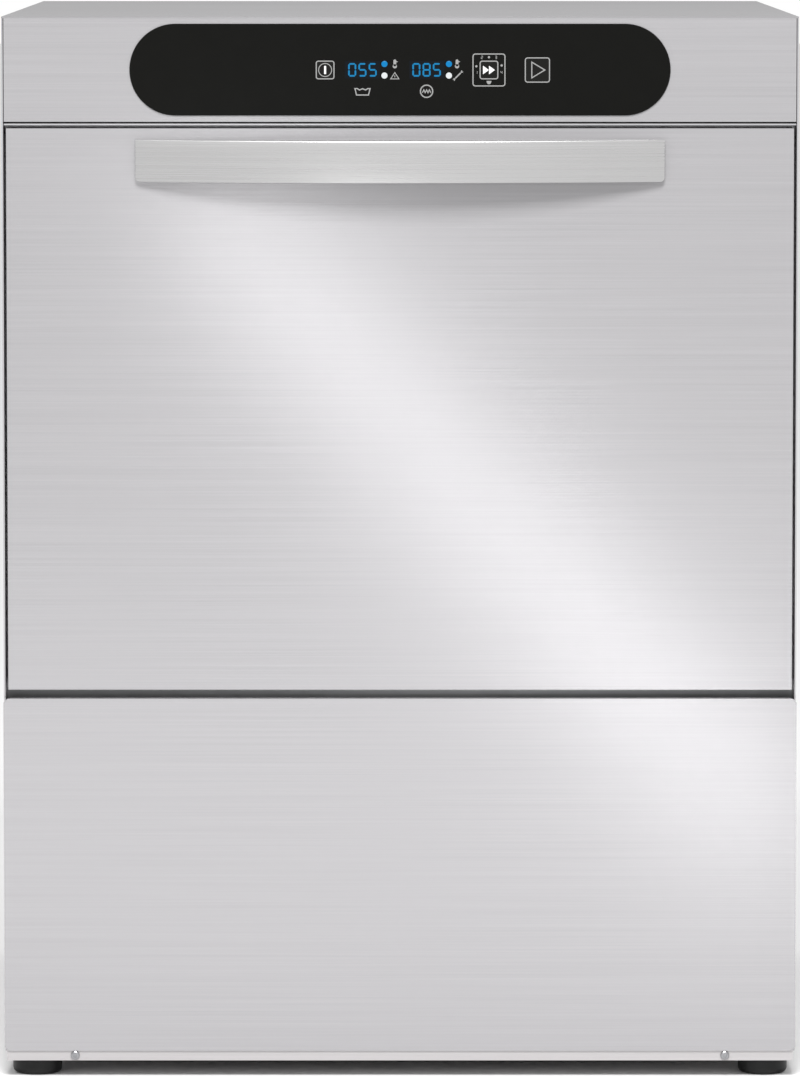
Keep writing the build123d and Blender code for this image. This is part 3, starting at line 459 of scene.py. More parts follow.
@dataclass
class Finishes:
    """Every finish of the machine, built once."""

    panel: Material = field(init=False)
    side: Material = field(init=False)
    rear: Material = field(init=False)
    screw: Material = field(init=False)
    top: Material = field(init=False)
    handle: Material = field(init=False)
    tray: Material = field(init=False)
    inner: Material = field(init=False)
    arm: Material = field(init=False)
    bright: Material = field(init=False)
    foot: Material = field(init=False)
    gloss: Material = field(init=False)
    key: Material = field(init=False)
    lens: Material = field(init=False)
    ink: Material = field(init=False)
    white: Material = field(init=False)
    digit: Material = field(init=False)
    lamp_blue: Material = field(init=False)
    lamp_white: Material = field(init=False)
    board: Material = field(init=False)
    rubber: Material = field(init=False)
    rack: Material = field(init=False)
    plastic: Material = field(init=False)
    pipe: Material = field(init=False)
    paint: Material = field(init=False)
    brass: Material = field(init=False)

    def __post_init__(self) -> None:
        """Builds every material."""
        self.panel = BrushedSteel("brushed_across", STEEL, Grain.ACROSS, 0.21).make()
        self.side = BrushedSteel("brushed_deep", STEEL, Grain.DEEP, 0.30, streak=0.10, relief=0.04).make()
        # Painted shade: a copy of the front steel darkened to 0.72, with dimmed edge reflections, standing for
        # the dimmer light on the top cover.
        self.top = BrushedSteel(
            "top_steel_painted_shade", tinted(STEEL, 0.72), Grain.ACROSS, 0.40, edge_tint=0.55
        ).make()
        self.handle = BrushedSteel(
            "brushed_handle", (0.31, 0.308, 0.308), Grain.BOWED, 0.28, edge_tint=0.5
        ).make()
        # Painted light: a lighter, slightly warm copy of the steel that makes up for the shade under the lower
        # front panel's edge.
        self.tray = BrushedSteel("tray_sheet_painted_light", (0.38, 0.368, 0.371), Grain.ACROSS, 0.45).make()
        self.rear = BrushedSteel(
            "rear_sheet", (0.33, 0.33, 0.335), Grain.ACROSS, 0.40, streak=0.06, relief=0.04
        ).make()
        # Painted shade: screw heads darkened from bright plated steel to stand for the shade under the lower
        # panel's edge; the rear heads share this finish.
        self.screw = PlainMetal("screw_steel_painted_shade", (0.30, 0.30, 0.31), 0.30).make()
        self.inner = BrushedSteel(
            "chamber_sheet", (0.42, 0.42, 0.43), Grain.TURNED, 0.30, streak=0.03, relief=0.05, metallic=0.85
        ).make()
        self.arm = BrushedSteel(
            "arm_sheet", (0.48, 0.48, 0.49), Grain.ACROSS, 0.26, streak=0.04, relief=0.06, metallic=0.9
        ).make()
        self.bright = PlainMetal("plated_steel", (0.68, 0.68, 0.70)).make()
        self.foot = MouldedPlastic("foot_plastic", (0.006, 0.006, 0.006), 0.5).make()
        self.gloss = GlossPlastic("gloss_black", (0.0028, 0.0028, 0.0024)).make()
        self.key = GlossPlastic("key_black", (0.0055, 0.0055, 0.0050), 0.30).make()
        self.lens = GlossPlastic("display_lens", (0.0035, 0.0045, 0.0060), 0.15).make()
        self.ink = PrintedInk("light_ink", (0.17, 0.17, 0.167)).make()
        self.white = PrintedInk("white_ink", (0.50, 0.50, 0.50)).make()
        self.digit = LitMark("lit_digit", (0.012, 0.26, 0.56), 0.85).make()
        self.lamp_blue = LitMark("lit_blue", (0.004, 0.27, 0.66), 0.85).make()
        self.lamp_white = LitMark("lit_white", (0.78, 0.81, 0.82), 1.0).make()
        self.board = CircuitBoard("board_lacquer").make()
        self.rubber = MouldedPlastic("seal_rubber", (0.018,) * 3, 0.7, texture=500.0, relief=0.3).make()
        self.rack = GlossPlastic("rack_coating", (0.42, 0.44, 0.47), 0.3, coat=0.4).make()
        self.plastic = MouldedPlastic("dark_moulding", (0.03, 0.03, 0.033), 0.5).make()
        self.pipe = MouldedPlastic("pipe_moulding", (0.40, 0.40, 0.38), 0.5).make()
        self.paint = MouldedPlastic("motor_paint", (0.05, 0.07, 0.10), 0.4, texture=300.0, relief=0.15).make()
        self.brass = PlainMetal("valve_brass", (0.60, 0.42, 0.18), 0.28).make()


# Mesh building


class Shape:
    """A mesh under construction."""

    def __init__(self, name: str) -> None:
        """Starts an empty mesh.

        Args:
            name: the finished piece's name.
        """
        self.name = name
        self.mesh = bmesh.new()

    def loft(self, rings: Sequence[Ring], close: bool = True) -> None:
        """Skins a row of rings that have the same number of points.

        Args:
            rings: the rings, in order.
            close: whether the first and last ring are filled.
        """
        rows = [[self.mesh.verts.new(point) for point in ring] for ring in rings]
        count = len(rows[0])
        for low, high in zip(rows, rows[1:]):
            for step in range(count):
                after = (step + 1) % count
                self.mesh.faces.new((low[step], low[after], high[after], high[step]))
        if close:
            self.mesh.faces.new(list(reversed(rows[0])))
            self.mesh.faces.new(rows[-1])

    def finish(self, material: Material, body: str, smooth: float = 35.0) -> bpy.types.Object:
        """Turns the mesh into a piece that rides on a body.

        Args:
            material: its finish.
            body: the CAD body it moves with.
            smooth: edges flatter than this many degrees are shaded smooth.

        Returns:
            The piece.
        """
        bmesh.ops.recalc_face_normals(self.mesh, faces=self.mesh.faces)
        data = bpy.data.meshes.new(self.name)
        self.mesh.to_mesh(data)
        self.mesh.free()
        data.materials.append(material)
        piece = bpy.data.objects.new(self.name, data)
        bpy.context.scene.collection.objects.link(piece)
        smooth_by_angle(piece, smooth)
        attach(piece, body)
        return piece


def smooth_by_angle(piece: bpy.types.Object, degrees: float) -> None:
    """Shades a mesh smooth except over its sharp edges.

    Args:
        piece: the object.
        degrees: edges sharper than this stay hard.
    """
    data = piece.data
    data.polygons.foreach_set("use_smooth", [True] * len(data.polygons))
    data.set_sharp_from_angle(angle=math.radians(degrees))


def round_outline(width: float, height: float, corner: float, steps: int = 6) -> list[Flat]:
    """A rectangle with round corners, centred on zero.

    Args:
        width: the size across.
        height: the size up.
        corner: the corners' radius.
        steps: the number of flats in each corner.

    Returns:
        The outline's points, anticlockwise.
    """
    points = []
    spots = ((1, -1, -90.0), (1, 1, 0.0), (-1, 1, 90.0), (-1, -1, 180.0))
    for x_side, y_side, start in spots:
        middle_x = x_side * (width / 2 - corner)
        middle_y = y_side * (height / 2 - corner)
        for step in range(steps + 1):
            turn = math.radians(start + 90.0 * step / steps)
            points.append((middle_x + corner * math.cos(turn), middle_y + corner * math.sin(turn)))
    return points


def front_ring(outline: Iterable[Flat], x: float, z: float, y: float) -> Ring:
    """A flat outline stood upright, facing the front.

    Args:
        outline: points across and up.
        x: where its middle lies across.
        z: where its middle lies up.
        y: its depth.

    Returns:
        The ring.
    """
    return [(x + across, y, z + up) for across, up in outline]


class Ink(Shape):
    """Flat marks of one thickness, printed on a surface that faces the front."""

    def __init__(self, name: str, surface_y: float, thickness: float = 0.06 * MM) -> None:
        """Starts an empty print.

        Args:
            name: the finished piece's name.
            surface_y: the depth of the printed surface.
            thickness: how far the ink stands proud.
        """
        super().__init__(name)
        self.back = surface_y
        self.front = surface_y - thickness

    def area(self, points: Sequence[Flat]) -> None:
        """Fills an outline.

        Args:
            points: the outline, across and up, in metres.
        """
        self.loft([[(x, self.back, z) for x, z in points], [(x, self.front, z) for x, z in points]])

    def stroke(self, points: Sequence[Flat], width: float, closed: bool = False) -> None:
        """Draws a line of even width with mitred corners.

        Args:
            points: the line's middle, across and up, in metres.
            width: the line's width.
            closed: whether its end joins its start.
        """
        left, right = offset_lines(points, width / 2, closed)
        if closed:
            outer_inner = [left, right]
            rings = [[(x, y, z) for x, z in line] for y in (self.front, self.back) for line in outer_inner]
            rings[2], rings[3] = rings[3], rings[2]
            self.loft([*rings, rings[0]], close=False)
            bmesh.ops.remove_doubles(self.mesh, verts=self.mesh.verts, dist=1e-7)
        else:
            self.area([*left, *reversed(right)])

    def disc(self, x: float, z: float, radius: float) -> None:
        """Fills a circle.

        Args:
            x: its middle across.
            z: its middle up.
            radius: its radius.
        """
        self.area(circle(x, z, radius))

    def square(self, x: float, z: float, side: float, width: float, corner: float) -> None:
        """Draws a round-cornered square outline.

        Args:
            x: its middle across.
            z: its middle up.
            side: its outer size.
            width: the line's width.
            corner: its corner radius.
        """
        outline = round_outline(side - width, side - width, corner)
        self.stroke([(x + across, z + up) for across, up in outline], width, closed=True)


def offset_lines(
    points: Sequence[Flat], reach: float, closed: bool
) -> tuple[list[Flat], list[Flat]]:
    """The two edges of a line of even width.

    Args:
        points: the line's middle.
        reach: half the width.
        closed: whether its end joins its start.

    Returns:
        The left edge and the right edge.
    """
    left, right = [], []
    count = len(points)
    for index, (x, z) in enumerate(points):
        before = points[index - 1] if closed or index else points[index]
        after = points[(index + 1) % count] if closed or index < count - 1 else points[index]
        into = Vector((x - before[0], z - before[1]))
        away = Vector((after[0] - x, after[1] - z))
        into = into.normalized() if into.length else away.normalized()
        away = away.normalized() if away.length else into
        heading = (into + away).normalized()
        normal = Vector((-heading.y, heading.x))
        square_on = max(normal.dot(Vector((-into.y, into.x))), 0.35)
        shift = normal * (reach / square_on)
        left.append((x + shift.x, z + shift.y))
        right.append((x - shift.x, z - shift.y))
    return left, right


def circle(x: float, z: float, radius: float, steps: int = 28) -> list[Flat]:
    """Points round a circle.

    Args:
        x: its middle across.
        z: its middle up.
        radius: its radius.
        steps: the number of points.

    Returns:
        The points, anticlockwise.
    """
    turns = [math.tau * step / steps for step in range(steps)]
    return [(x + radius * math.cos(turn), z + radius * math.sin(turn)) for turn in turns]


class Machine:
    """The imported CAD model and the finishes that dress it."""

    def __init__(self) -> None:
        """Loads the model and builds the finishes."""
        self.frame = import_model()
        self.finish = Finishes()

    def dress(self, node: str, material: Material, bevel: float = 0.0, segments: int = 2) -> None:
        """Gives a CAD node its finish and breaks its sharp edges.

        Args:
            node: the node's name.
            material: its finish.
            bevel: the width of the broken edge, in metres; none at 0.
            segments: the number of flats on the edge.
        """
        piece = self.frame["nodes"][node]
        for slot in piece.material_slots:
            slot.material = material
        if bevel:
            soft = piece.modifiers.new("edge", "BEVEL")
            soft.width = bevel
            soft.segments = segments
            soft.limit_method = "ANGLE"
            soft.angle_limit = math.radians(50.0)
            soft.harden_normals = True
        log.info("dressed %s", node)


# Sub-assemblies


@dataclass
class Cabinet:
    """Outer sheets, front frame, tray, screws and feet."""

    machine: Machine
    edge: float = 0.5 * MM
    head_steps: int = 24
    head_height: float = 2.0 * MM
    socket_share: float = 0.45
    tray_screw: Flat = (247.0 * MM, 17.0 * MM)
    tray_head: float = 3.4 * MM
    rear_screw_x: float = 285.0 * MM
    rear_screw_heights: tuple[float, ...] = (80.0 * MM, 300.0 * MM, 520.0 * MM, 740.0 * MM)
    rear_head: float = 4.5 * MM

    def build(self) -> None:
        """Dresses the sheets and makes the screw heads."""
        finish = self.machine.finish
        for node in ("side_panel_left", "side_panel_right"):
            self.machine.dress(node, finish.side, self.edge)
        for node in ("control_fascia", "lower_front_panel"):
            self.machine.dress(node, finish.panel, self.edge, 3)
        self.machine.dress("top_cover", finish.top, self.edge, 3)
        self.machine.dress("rear_panel", finish.rear, 0.3 * MM)
        self.machine.dress("base_tray", finish.tray, self.edge)
        self.machine.dress("front_frame", finish.inner, 0.3 * MM)
        for corner in ("front_left", "front_right", "rear_left", "rear_right"):
            self.machine.dress("foot_" + corner, finish.foot, 0.3 * MM)
        self._screws()

    def _screws(self) -> None:
        """Makes every screw head, with a hexagon socket."""
        shape = Shape("cabinet_screw_heads")
        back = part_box("rear_panel")[1][1]
        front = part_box("base_tray")[0][1]
        tray_x, tray_z = self.tray_screw
        for side in Side:
            self._head(shape, (side.value * tray_x, front, tray_z), self.tray_head, -1.0)
            for height in self.rear_screw_heights:
                self._head(shape, (side.value * self.rear_screw_x, back, height), self.rear_head, 1.0)
        piece = shape.finish(self.machine.finish.screw, "cabinet")
        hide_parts("cabinet_screws")
        log.info("built %s", piece.name)

    def _head(self, shape: Shape, spot: Point, radius: float, facing: float) -> None:
        """Adds one domed head.

        Args:
            shape: the mesh it is added to.
            spot: the middle of its seat.
            radius: its radius.
            facing: -1 if it faces the front, 1 if it faces the rear.
        """
        x, y, z = spot
        tall = self.head_height
        rings = []
        for share, rise in ((1.0, 0.0), (1.0, 0.45), (0.93, 0.75), (0.75, 0.95), (0.55, 1.0)):
            outline = circle(0, 0, radius * share, self.head_steps)
            rings.append(front_ring(outline, x, z, y + facing * tall * rise))
        socket = radius * self.socket_share
        for rise in (1.0, 0.35):
            rings.append(front_ring(self._hexagon(socket), x, z, y + facing * tall * rise))
        shape.loft(rings)

    def _hexagon(self, radius: float) -> list[Flat]:
        """Points round a hexagon, as many as the head's circle has.

        Args:
            radius: the distance to its corners.

        Returns:
            The points, anticlockwise.
        """
        points = []
        for step in range(self.head_steps):
            turn = math.tau * step / self.head_steps
            within = (turn % (math.tau / 6)) - math.tau / 12
            reach = radius * math.cos(math.tau / 12) / math.cos(within)
            points.append((reach * math.cos(turn), reach * math.sin(turn)))
        return points


@dataclass
class ControlPanel:
    """Black membrane with its keys, displays, lamps and printed symbols."""

    machine: Machine
    line: float = 0.8 * MM
    thin: float = 0.6 * MM
    key_z: float = 766.0 * MM
    power_x: float = -56.3 * MM
    program_x: float = 66.9 * MM
    start_x: float = 103.3 * MM
    digit_size: Flat = (6.1 * MM, 10.2 * MM)
    digit_pitch: float = 7.7 * MM
    digit_line: float = 1.25 * MM
    digit_z: float = 766.1 * MM
    display_x: Flat = (-28.25 * MM, 20.0 * MM)
    lamp_radius: float = 2.3 * MM
    lamp_steps: int = 24

    def build(self) -> None:
        """Dresses the panel's nodes and prints its marks."""
        machine, finish = self.machine, self.machine.finish
        machine.dress("control_membrane", finish.gloss, 0.3 * MM, 3)
        machine.dress("display_modules", finish.lens, 0.1 * MM)
        machine.dress("control_board", finish.board, 0.2 * MM)
        for name in ("power_key", "program_key", "start_key"):
            machine.dress(name, finish.key, 0.35 * MM, 3)
        self._power_mark()
        self._program_mark()
        self._start_mark()
        self._panel_marks()
        self._displays()
        self._lamps()

    def _cap(self, key: str, name: str) -> Ink:
        """Starts a print on a key's cap.

        Args:
            key: the key's node.
            name: the print's name.

        Returns:
            The empty print.
        """
        return Ink(name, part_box(key)[0][1])

    def _end(self, ink: Ink, material: Material, body: str) -> None:
        """Finishes a print and reports it.

        Args:
            ink: the print.
            material: its finish.
            body: the body it rides on.
        """
        piece = ink.finish(material, body)
        log.info("printed %s", piece.name)

    def _power_mark(self) -> None:
        """Square, circle and upright bar."""
        ink = self._cap("power_key", "power_symbol")
        x, z = self.power_x, self.key_z
        ink.square(x, z, 14.1 * MM, self.line, 1.6 * MM)
        ink.stroke(circle(x, z, 4.9 * MM, 40), self.thin, closed=True)
        self._end(ink, self.machine.finish.ink, "power_key")
        bar = self._cap("power_key", "power_bar")
        bar.area([(x + across, z + up) for across, up in round_outline(1.5 * MM, 6.2 * MM, 0.4 * MM, 3)])
        self._end(bar, self.machine.finish.white, "power_key")

    def _program_mark(self) -> None:
        """Square with two solid arrow heads."""
        ink = self._cap("program_key", "program_symbol")
        x, z = self.program_x, self.key_z
        ink.square(x, z, 14.1 * MM, self.line, 1.6 * MM)
        self._end(ink, self.machine.finish.ink, "program_key")
        heads = self._cap("program_key", "program_arrows")
        for step in (-1.0, 0.0):
            start = x + step * 4.5 * MM
            heads.area([(start, z + 3.2 * MM), (start, z - 3.2 * MM), (start + 4.4 * MM, z)])
        self._end(heads, self.machine.finish.white, "program_key")

    def _start_mark(self) -> None:
        """Square with an open triangle that points right."""
        ink = self._cap("start_key", "start_symbol")
        x, z = self.start_x, self.key_z
        ink.square(x, z, 19.0 * MM, self.line, 1.8 * MM)
        reach, half = 5.6 * MM, 5.9 * MM
        ink.stroke([(x - 4.2 * MM, z + half), (x - 4.2 * MM, z - half), (x + reach, z)], self.line, closed=True)
        self._end(ink, self.machine.finish.ink, "start_key")

    def _panel_marks(self) -> None:
        """Symbols printed on the membrane round the keys and displays."""
        ink = Ink("panel_symbols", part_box("control_membrane")[0][1])
        self._program_frame(ink)
        for x in (-3.9 * MM, 42.9 * MM):
            self._thermometer(ink, x, 770.8 * MM)
        self._warning(ink, -3.9 * MM, 761.6 * MM)
        self._spanner(ink, 43.6 * MM, 761.8 * MM)
        self._tub(ink, -28.2 * MM, 749.5 * MM)
        self._rinse(ink, 20.0 * MM, 750.0 * MM)
        self._end(ink, self.machine.finish.ink, "cabinet")

    def _program_frame(self, ink: Ink) -> None:
        """Frame round the program key, with a dot and a number for each program.

        Args:
            ink: the print it is added to.
        """
        x, z = self.program_x, self.key_z
        ink.square(x, z, 24.8 * MM, self.line, 1.8 * MM)
        for across, up in ((0.0, 9.6), (-9.5, 2.8), (9.5, 3.4)):
            ink.disc(x + across * MM, z + up * MM, 0.85 * MM)
        small = (1.5 * MM, 2.4 * MM)
        for digit, across, up in (("1", -9.4, -1.8), ("2", -5.3, 9.5), ("3", 5.3, 9.5), ("4", 9.4, -1.8)):
            self._digit(ink, digit, (x + across * MM, z + up * MM), small, 0.38 * MM)
        bowl = [(-1.9, -8.2), (-1.5, -9.8), (-0.6, -10.7), (0.6, -10.7), (1.5, -9.8), (1.9, -8.2)]
        ink.area([(x + across * MM, z + up * MM) for across, up in bowl])

    def _thermometer(self, ink: Ink, x: float, z: float) -> None:
        """Bulb, stem and flag of a thermometer.

        Args:
            ink: the print it is added to.
            x: its middle across.
            z: its middle up.
        """
        stem = round_outline(2.1 * MM, 5.2 * MM, 1.0 * MM, 4)
        ink.area([(x + across, z + 0.5 * MM + up) for across, up in stem])
        ink.disc(x, z - 2.0 * MM, 1.6 * MM)
        ink.area([(x + 1.0 * MM, z + 2.0 * MM), (x + 1.0 * MM, z + 0.8 * MM), (x + 2.4 * MM, z + 1.4 * MM)])

    def _warning(self, ink: Ink, x: float, z: float) -> None:
        """Triangle with a short bar inside.

        Args:
            ink: the print it is added to.
            x: its middle across.
            z: its middle up.
        """
        foot_z = z - 2.3 * MM
        ink.stroke([(x - 3.1 * MM, foot_z), (x + 3.1 * MM, foot_z), (x, z + 2.5 * MM)], self.thin, True)
        bar = round_outline(0.6 * MM, 1.7 * MM, 0.25 * MM, 3)
        ink.area([(x + across, z - 0.4 * MM + up) for across, up in bar])

    def _spanner(self, ink: Ink, x: float, z: float) -> None:
        """Slanted bar with an open jaw at each end.

        Args:
            ink: the print it is added to.
            x: its middle across.
            z: its middle up.
        """
        reach, jaw = 2.3 * MM, 1.5 * MM
        ink.stroke([(x - reach, z - reach), (x + reach, z + reach)], 1.0 * MM)
        for side in Side:
            tip_x, tip_z = x + side.value * reach, z + side.value * reach
            along, across = side.value * jaw, side.value * jaw * 0.35
            ink.stroke(
                [(tip_x + across, tip_z + along), (tip_x, tip_z), (tip_x + along, tip_z + across)], 0.7 * MM
            )

    def _tub(self, ink: Ink, x: float, z: float) -> None:
        """Wash tub with a wavy water line.

        Args:
            ink: the print it is added to.
            x: its middle across.
            z: its middle up.
        """
        top, base = 2.5 * MM, -2.3 * MM
        sides = [(-5.7, top), (-4.5, base), (4.5, base), (5.7, top)]
        wave = [(3.9, top), (2.3, top - 1.0 * MM), (0.0, top - 0.1 * MM), (-2.3, top - 1.0 * MM), (-3.9, top)]
        outline = [(x + across * MM, z + up) for across, up in (*sides, *wave)]
        ink.stroke(outline, 0.85 * MM, closed=True)

    def _rinse(self, ink: Ink, x: float, z: float) -> None:
        """Ring with a zigzag across it.

        Args:
            ink: the print it is added to.
            x: its middle across.
            z: its middle up.
        """
        ink.stroke(circle(x, z, 4.6 * MM, 40), 0.9 * MM, closed=True)
        peaks = 7
        zigzag = []
        for step in range(peaks):
            up = 1.1 * MM if step % 2 else -1.1 * MM
            zigzag.append((x + (step - (peaks - 1) / 2) * 1.05 * MM, z + up))
        ink.stroke(zigzag, 0.7 * MM)

    def _digit(self, ink: Ink, digit: str, spot: Flat, size: Flat, line: float) -> None:
        """Draws a seven-segment digit.

        Args:
            ink: the print it is added to.
            digit: the digit.
            spot: its middle, across and up.
            size: its width and height.
            line: the segments' width.
        """
        lit = {"0": "abcdef", "1": "bc", "2": "abged", "3": "abgcd", "4": "fgbc", "5": "afgcd", "8": "abcdefg"}
        x, z = spot
        half_w, half_h = (size[0] - line) / 2, (size[1] - line) / 2
        ends = {
            "a": ((-half_w, half_h), (half_w, half_h)),
            "b": ((half_w, half_h), (half_w, 0.0)),
            "c": ((half_w, 0.0), (half_w, -half_h)),
            "d": ((-half_w, -half_h), (half_w, -half_h)),
            "e": ((-half_w, 0.0), (-half_w, -half_h)),
            "f": ((-half_w, half_h), (-half_w, 0.0)),
            "g": ((-half_w, 0.0), (half_w, 0.0)),
        }
        for segment in lit[digit]:
            self._segment(ink, ends[segment], (x, z), line)

    @staticmethod
    def _segment(
        ink: Ink, ends: tuple[Flat, Flat], spot: Flat, line: float
    ) -> None:
        """Draws one segment with pointed ends.

        Args:
            ink: the print it is added to.
            ends: where its middle line starts and ends, from the digit's middle.
            spot: the digit's middle.
            line: the segment's width.
        """
        start, end = (Vector((point[0] + spot[0], point[1] + spot[1])) for point in ends)
        along = (end - start).normalized()
        across = Vector((-along.y, along.x)) * line / 2
        gap = along * line * 0.10
        nose = along * line * 0.45
        start, end = start + gap, end - gap
        below = (start + nose - across, end - nose - across)
        above = (end - nose + across, start + nose + across)
        points = (start, *below, end, *above)
        ink.area([(point.x, point.y) for point in points])

    def _displays(self) -> None:
        """Lit digits in front of the two display lenses."""
        ink = Ink("display_digits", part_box("display_modules")[0][1], 0.05 * MM)
        for digits, middle_x in zip(("055", "085"), self.display_x):
            for place, digit in enumerate(digits):
                x = middle_x + (place - 1) * self.digit_pitch
                self._digit(ink, digit, (x, self.digit_z), self.digit_size, self.digit_line)
        self._end(ink, self.machine.finish.digit, "cabinet")

    def _lamps(self) -> None:
        """Domed lamp windows: blue above, white below."""
        low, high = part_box("status_lights")
        radius = self.lamp_radius
        front, back = low[1], high[1]
        for name, height, material in (
            ("lamps_upper", high[2] - radius, self.machine.finish.lamp_blue),
            ("lamps_lower", low[2] + radius, self.machine.finish.lamp_white),
        ):
            shape = Shape(name)
            for x in (low[0] + radius, high[0] - radius):
                rings = [front_ring(circle(0, 0, radius, self.lamp_steps), x, height, back)]
                for share, rise in ((1.0, 0.0), (0.9, 0.12), (0.6, 0.22), (0.2, 0.26)):
                    outline = circle(0, 0, radius * share, self.lamp_steps)
                    rings.append(front_ring(outline, x, height, front - rise * MM))
                shape.loft(rings)
            piece = shape.finish(material, "cabinet")
            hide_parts("status_lights")
            log.info("built %s", piece.name)


@dataclass
class Door:
    """Drop-down door with its bowed pull, liner, hinges and seal."""

    machine: Machine
    stations: int = 48
    smooth_angle: float = 50.0
    sheet: float = 2.4 * MM
    shelf_share: float = 0.8
    end_depth: float = 4.5 * MM
    corner: float = 3.0 * MM
    profile: tuple[Flat, ...] = (
        (0.930, 0.0),
        (0.944, 0.003),
        (0.953, 0.010),
        (0.959, 0.026),
        (0.965, 0.07),
        (0.973, 0.16),
        (0.982, 0.28),
        (0.990, 0.43),
        (0.996, 0.62),
        (0.996, 0.86),
        (0.988, 1.0),
    )

    def build(self) -> None:
        """Dresses the door's nodes and makes the pull."""
        machine, finish = self.machine, self.machine.finish
        machine.dress("door_outer_panel", finish.panel, 0.55 * MM, 3)
        machine.dress("door_inner_panel", finish.inner, 0.5 * MM, 3)
        machine.dress("door_hinge_ears", finish.bright, 0.3 * MM)
        machine.dress("hinge_brackets", finish.bright, 0.3 * MM)
        machine.dress("door_springs", finish.bright)
        machine.dress("door_gasket", finish.rubber, 1.2 * MM, 3)
        machine.dress("door_switch", finish.plastic, 0.5 * MM)
        self._pull()

    def _pull(self) -> None:
        """Bowed pull: a hood that leans out towards its lower edge, open underneath."""
        low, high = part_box("door_handle")
        half = (high[0] - low[0]) / 2
        bow = high[1] - low[1]
        drop = high[2] - low[2]
        radius = (half**2 + bow**2) / (2 * bow)
        rings = []
        for step in range(self.stations + 1):
            share = self._spread(step / self.stations)
            x = share * half
            arc = math.sqrt(radius**2 - x**2) - (radius - bow)
            depth = self.end_depth + (bow - self.end_depth) * arc / bow
            rings.append(self._section(x, depth, drop * self._lift(half - abs(x), drop), high))
        shape = Shape("door_pull")
        shape.loft(rings)
        piece = shape.finish(self.machine.finish.handle, "door", self.smooth_angle)
        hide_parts("door_handle")
        log.info("built %s", piece.name)

    @staticmethod
    def _spread(share: float) -> float:
        """Places stations from -1 to 1, closer together near the ends."""
        return math.sin((share - 0.5) * math.pi)

    def _lift(self, from_end: float, drop: float) -> float:
        """How much of the full height the pull has near its rounded lower corners.

        Args:
            from_end: the distance from the nearer end.
            drop: the full height.

        Returns:
            A share of the full height.
        """
        if from_end >= self.corner:
            return 1.0
        rise = self.corner - math.sqrt(self.corner**2 - (self.corner - from_end) ** 2)
        return 1.0 - rise / drop

    def _section(self, x: float, depth: float, drop: float, high: Sequence[float]) -> Ring:
        """One cross-section of the pull.

        Args:
            x: where it lies across.
            depth: how far the lower edge stands out there.
            drop: the height there.
            high: the highest corner of the pull's box.

        Returns:
            The ring, outside first and then inside.
        """
        face, top = high[1], high[2]
        outside = [(0.0, 0.0)] + [(share * depth, fall * drop) for share, fall in self.profile]
        inside = [(max(share * depth - self.sheet, 0.0), fall * drop) for share, fall in reversed(self.profile)]
        shelf = self.sheet * self.shelf_share
        inside = [(out, max(fall, shelf)) for out, fall in inside] + [(0.0, shelf)]
        return [(x, face - out, top - fall) for out, fall in (*outside, *inside)]


@dataclass
class Chamber:
    """Wash chamber, tank, spray arms and the wire rack."""

    machine: Machine
    wall_wire: float = 2.0 * MM
    ring_wire: float = 3.0 * MM
    pitch: float = 50.0 * MM
    ring_corner: float = 14.0 * MM
    middle_ring_z: float = 443.0 * MM
    wires_each_side: int = 4

    def build(self) -> None:
        """Dresses the chamber's nodes and makes the rack."""
        machine, finish = self.machine, self.machine.finish
        for node in ("chamber_wrap", "chamber_ceiling", "wash_tank", "filter_plate"):
            machine.dress(node, finish.inner, 0.25 * MM)
        for node in ("rack_rail_left", "rack_rail_right", "sump_strainer", "standpipe"):
            machine.dress(node, finish.arm, 0.3 * MM)
        for node in ("lower_manifold", "upper_spindle"):
            machine.dress(node, finish.arm, 0.4 * MM)
        for node in ("lower_wash_arm", "upper_wash_arm"):
            machine.dress(node, finish.arm, 1.6 * MM, 3)
        for node in ("lower_rinse_arm", "upper_rinse_arm"):
            machine.dress(node, finish.bright, 0.3 * MM)
        machine.dress("tank_heater", finish.bright)
        self._rack()

    def _rack(self) -> None:
        """Coated-wire rack: round-cornered rings, upright wires and a grid floor."""
        low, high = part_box("glass_rack")
        data = bpy.data.curves.new("rack_wires", "CURVE")
        data.dimensions = "3D"
        data.bevel_depth = self.wall_wire
        data.bevel_resolution = 3
        half = (high[0] - low[0]) / 2 - self.ring_wire
        for z in (low[2] + self.ring_wire, self.middle_ring_z, high[2] - self.ring_wire):
            outline = round_outline(2 * half, 2 * half, self.ring_corner, 5)
            self._wire(data, [(x, y, z) for x, y in outline], self.ring_wire / self.wall_wire, True)
        inner = half - self.ring_wire
        floor_z = low[2] + self.wall_wire
        for step in range(-self.wires_each_side, self.wires_each_side + 1):
            spot = step * self.pitch
            self._wire(data, [(spot, -half, floor_z), (spot, half, floor_z)], 1.0, False)
            self._wire(data, [(-half, spot, floor_z), (half, spot, floor_z)], 1.0, False)
            for side in Side:
                wall = side.value * inner
                self._wire(data, [(spot, wall, floor_z), (spot, wall, high[2] - self.ring_wire)], 1.0, False)
                self._wire(data, [(wall, spot, floor_z), (wall, spot, high[2] - self.ring_wire)], 1.0, False)
        data.materials.append(self.machine.finish.rack)
        piece = bpy.data.objects.new("rack_wires", data)
        bpy.context.scene.collection.objects.link(piece)
        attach(piece, "cabinet")
        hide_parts("glass_rack")
        log.info("built %s", piece.name)

    @staticmethod
    def _wire(data: bpy.types.Curve, points: Sequence[Point], thick: float, closed: bool) -> None:
        """Adds one wire.

        Args:
            data: the curve it is added to.
            points: its middle line.
            thick: its thickness as a multiple of the curve's own.
            closed: whether its end joins its start.
        """
        spline = data.splines.new("POLY")
        spline.points.add(len(points) - 1)
        for point, place in zip(spline.points, points):
            point.co = (*place, 1.0)
            point.radius = thick
        spline.use_cyclic_u = closed


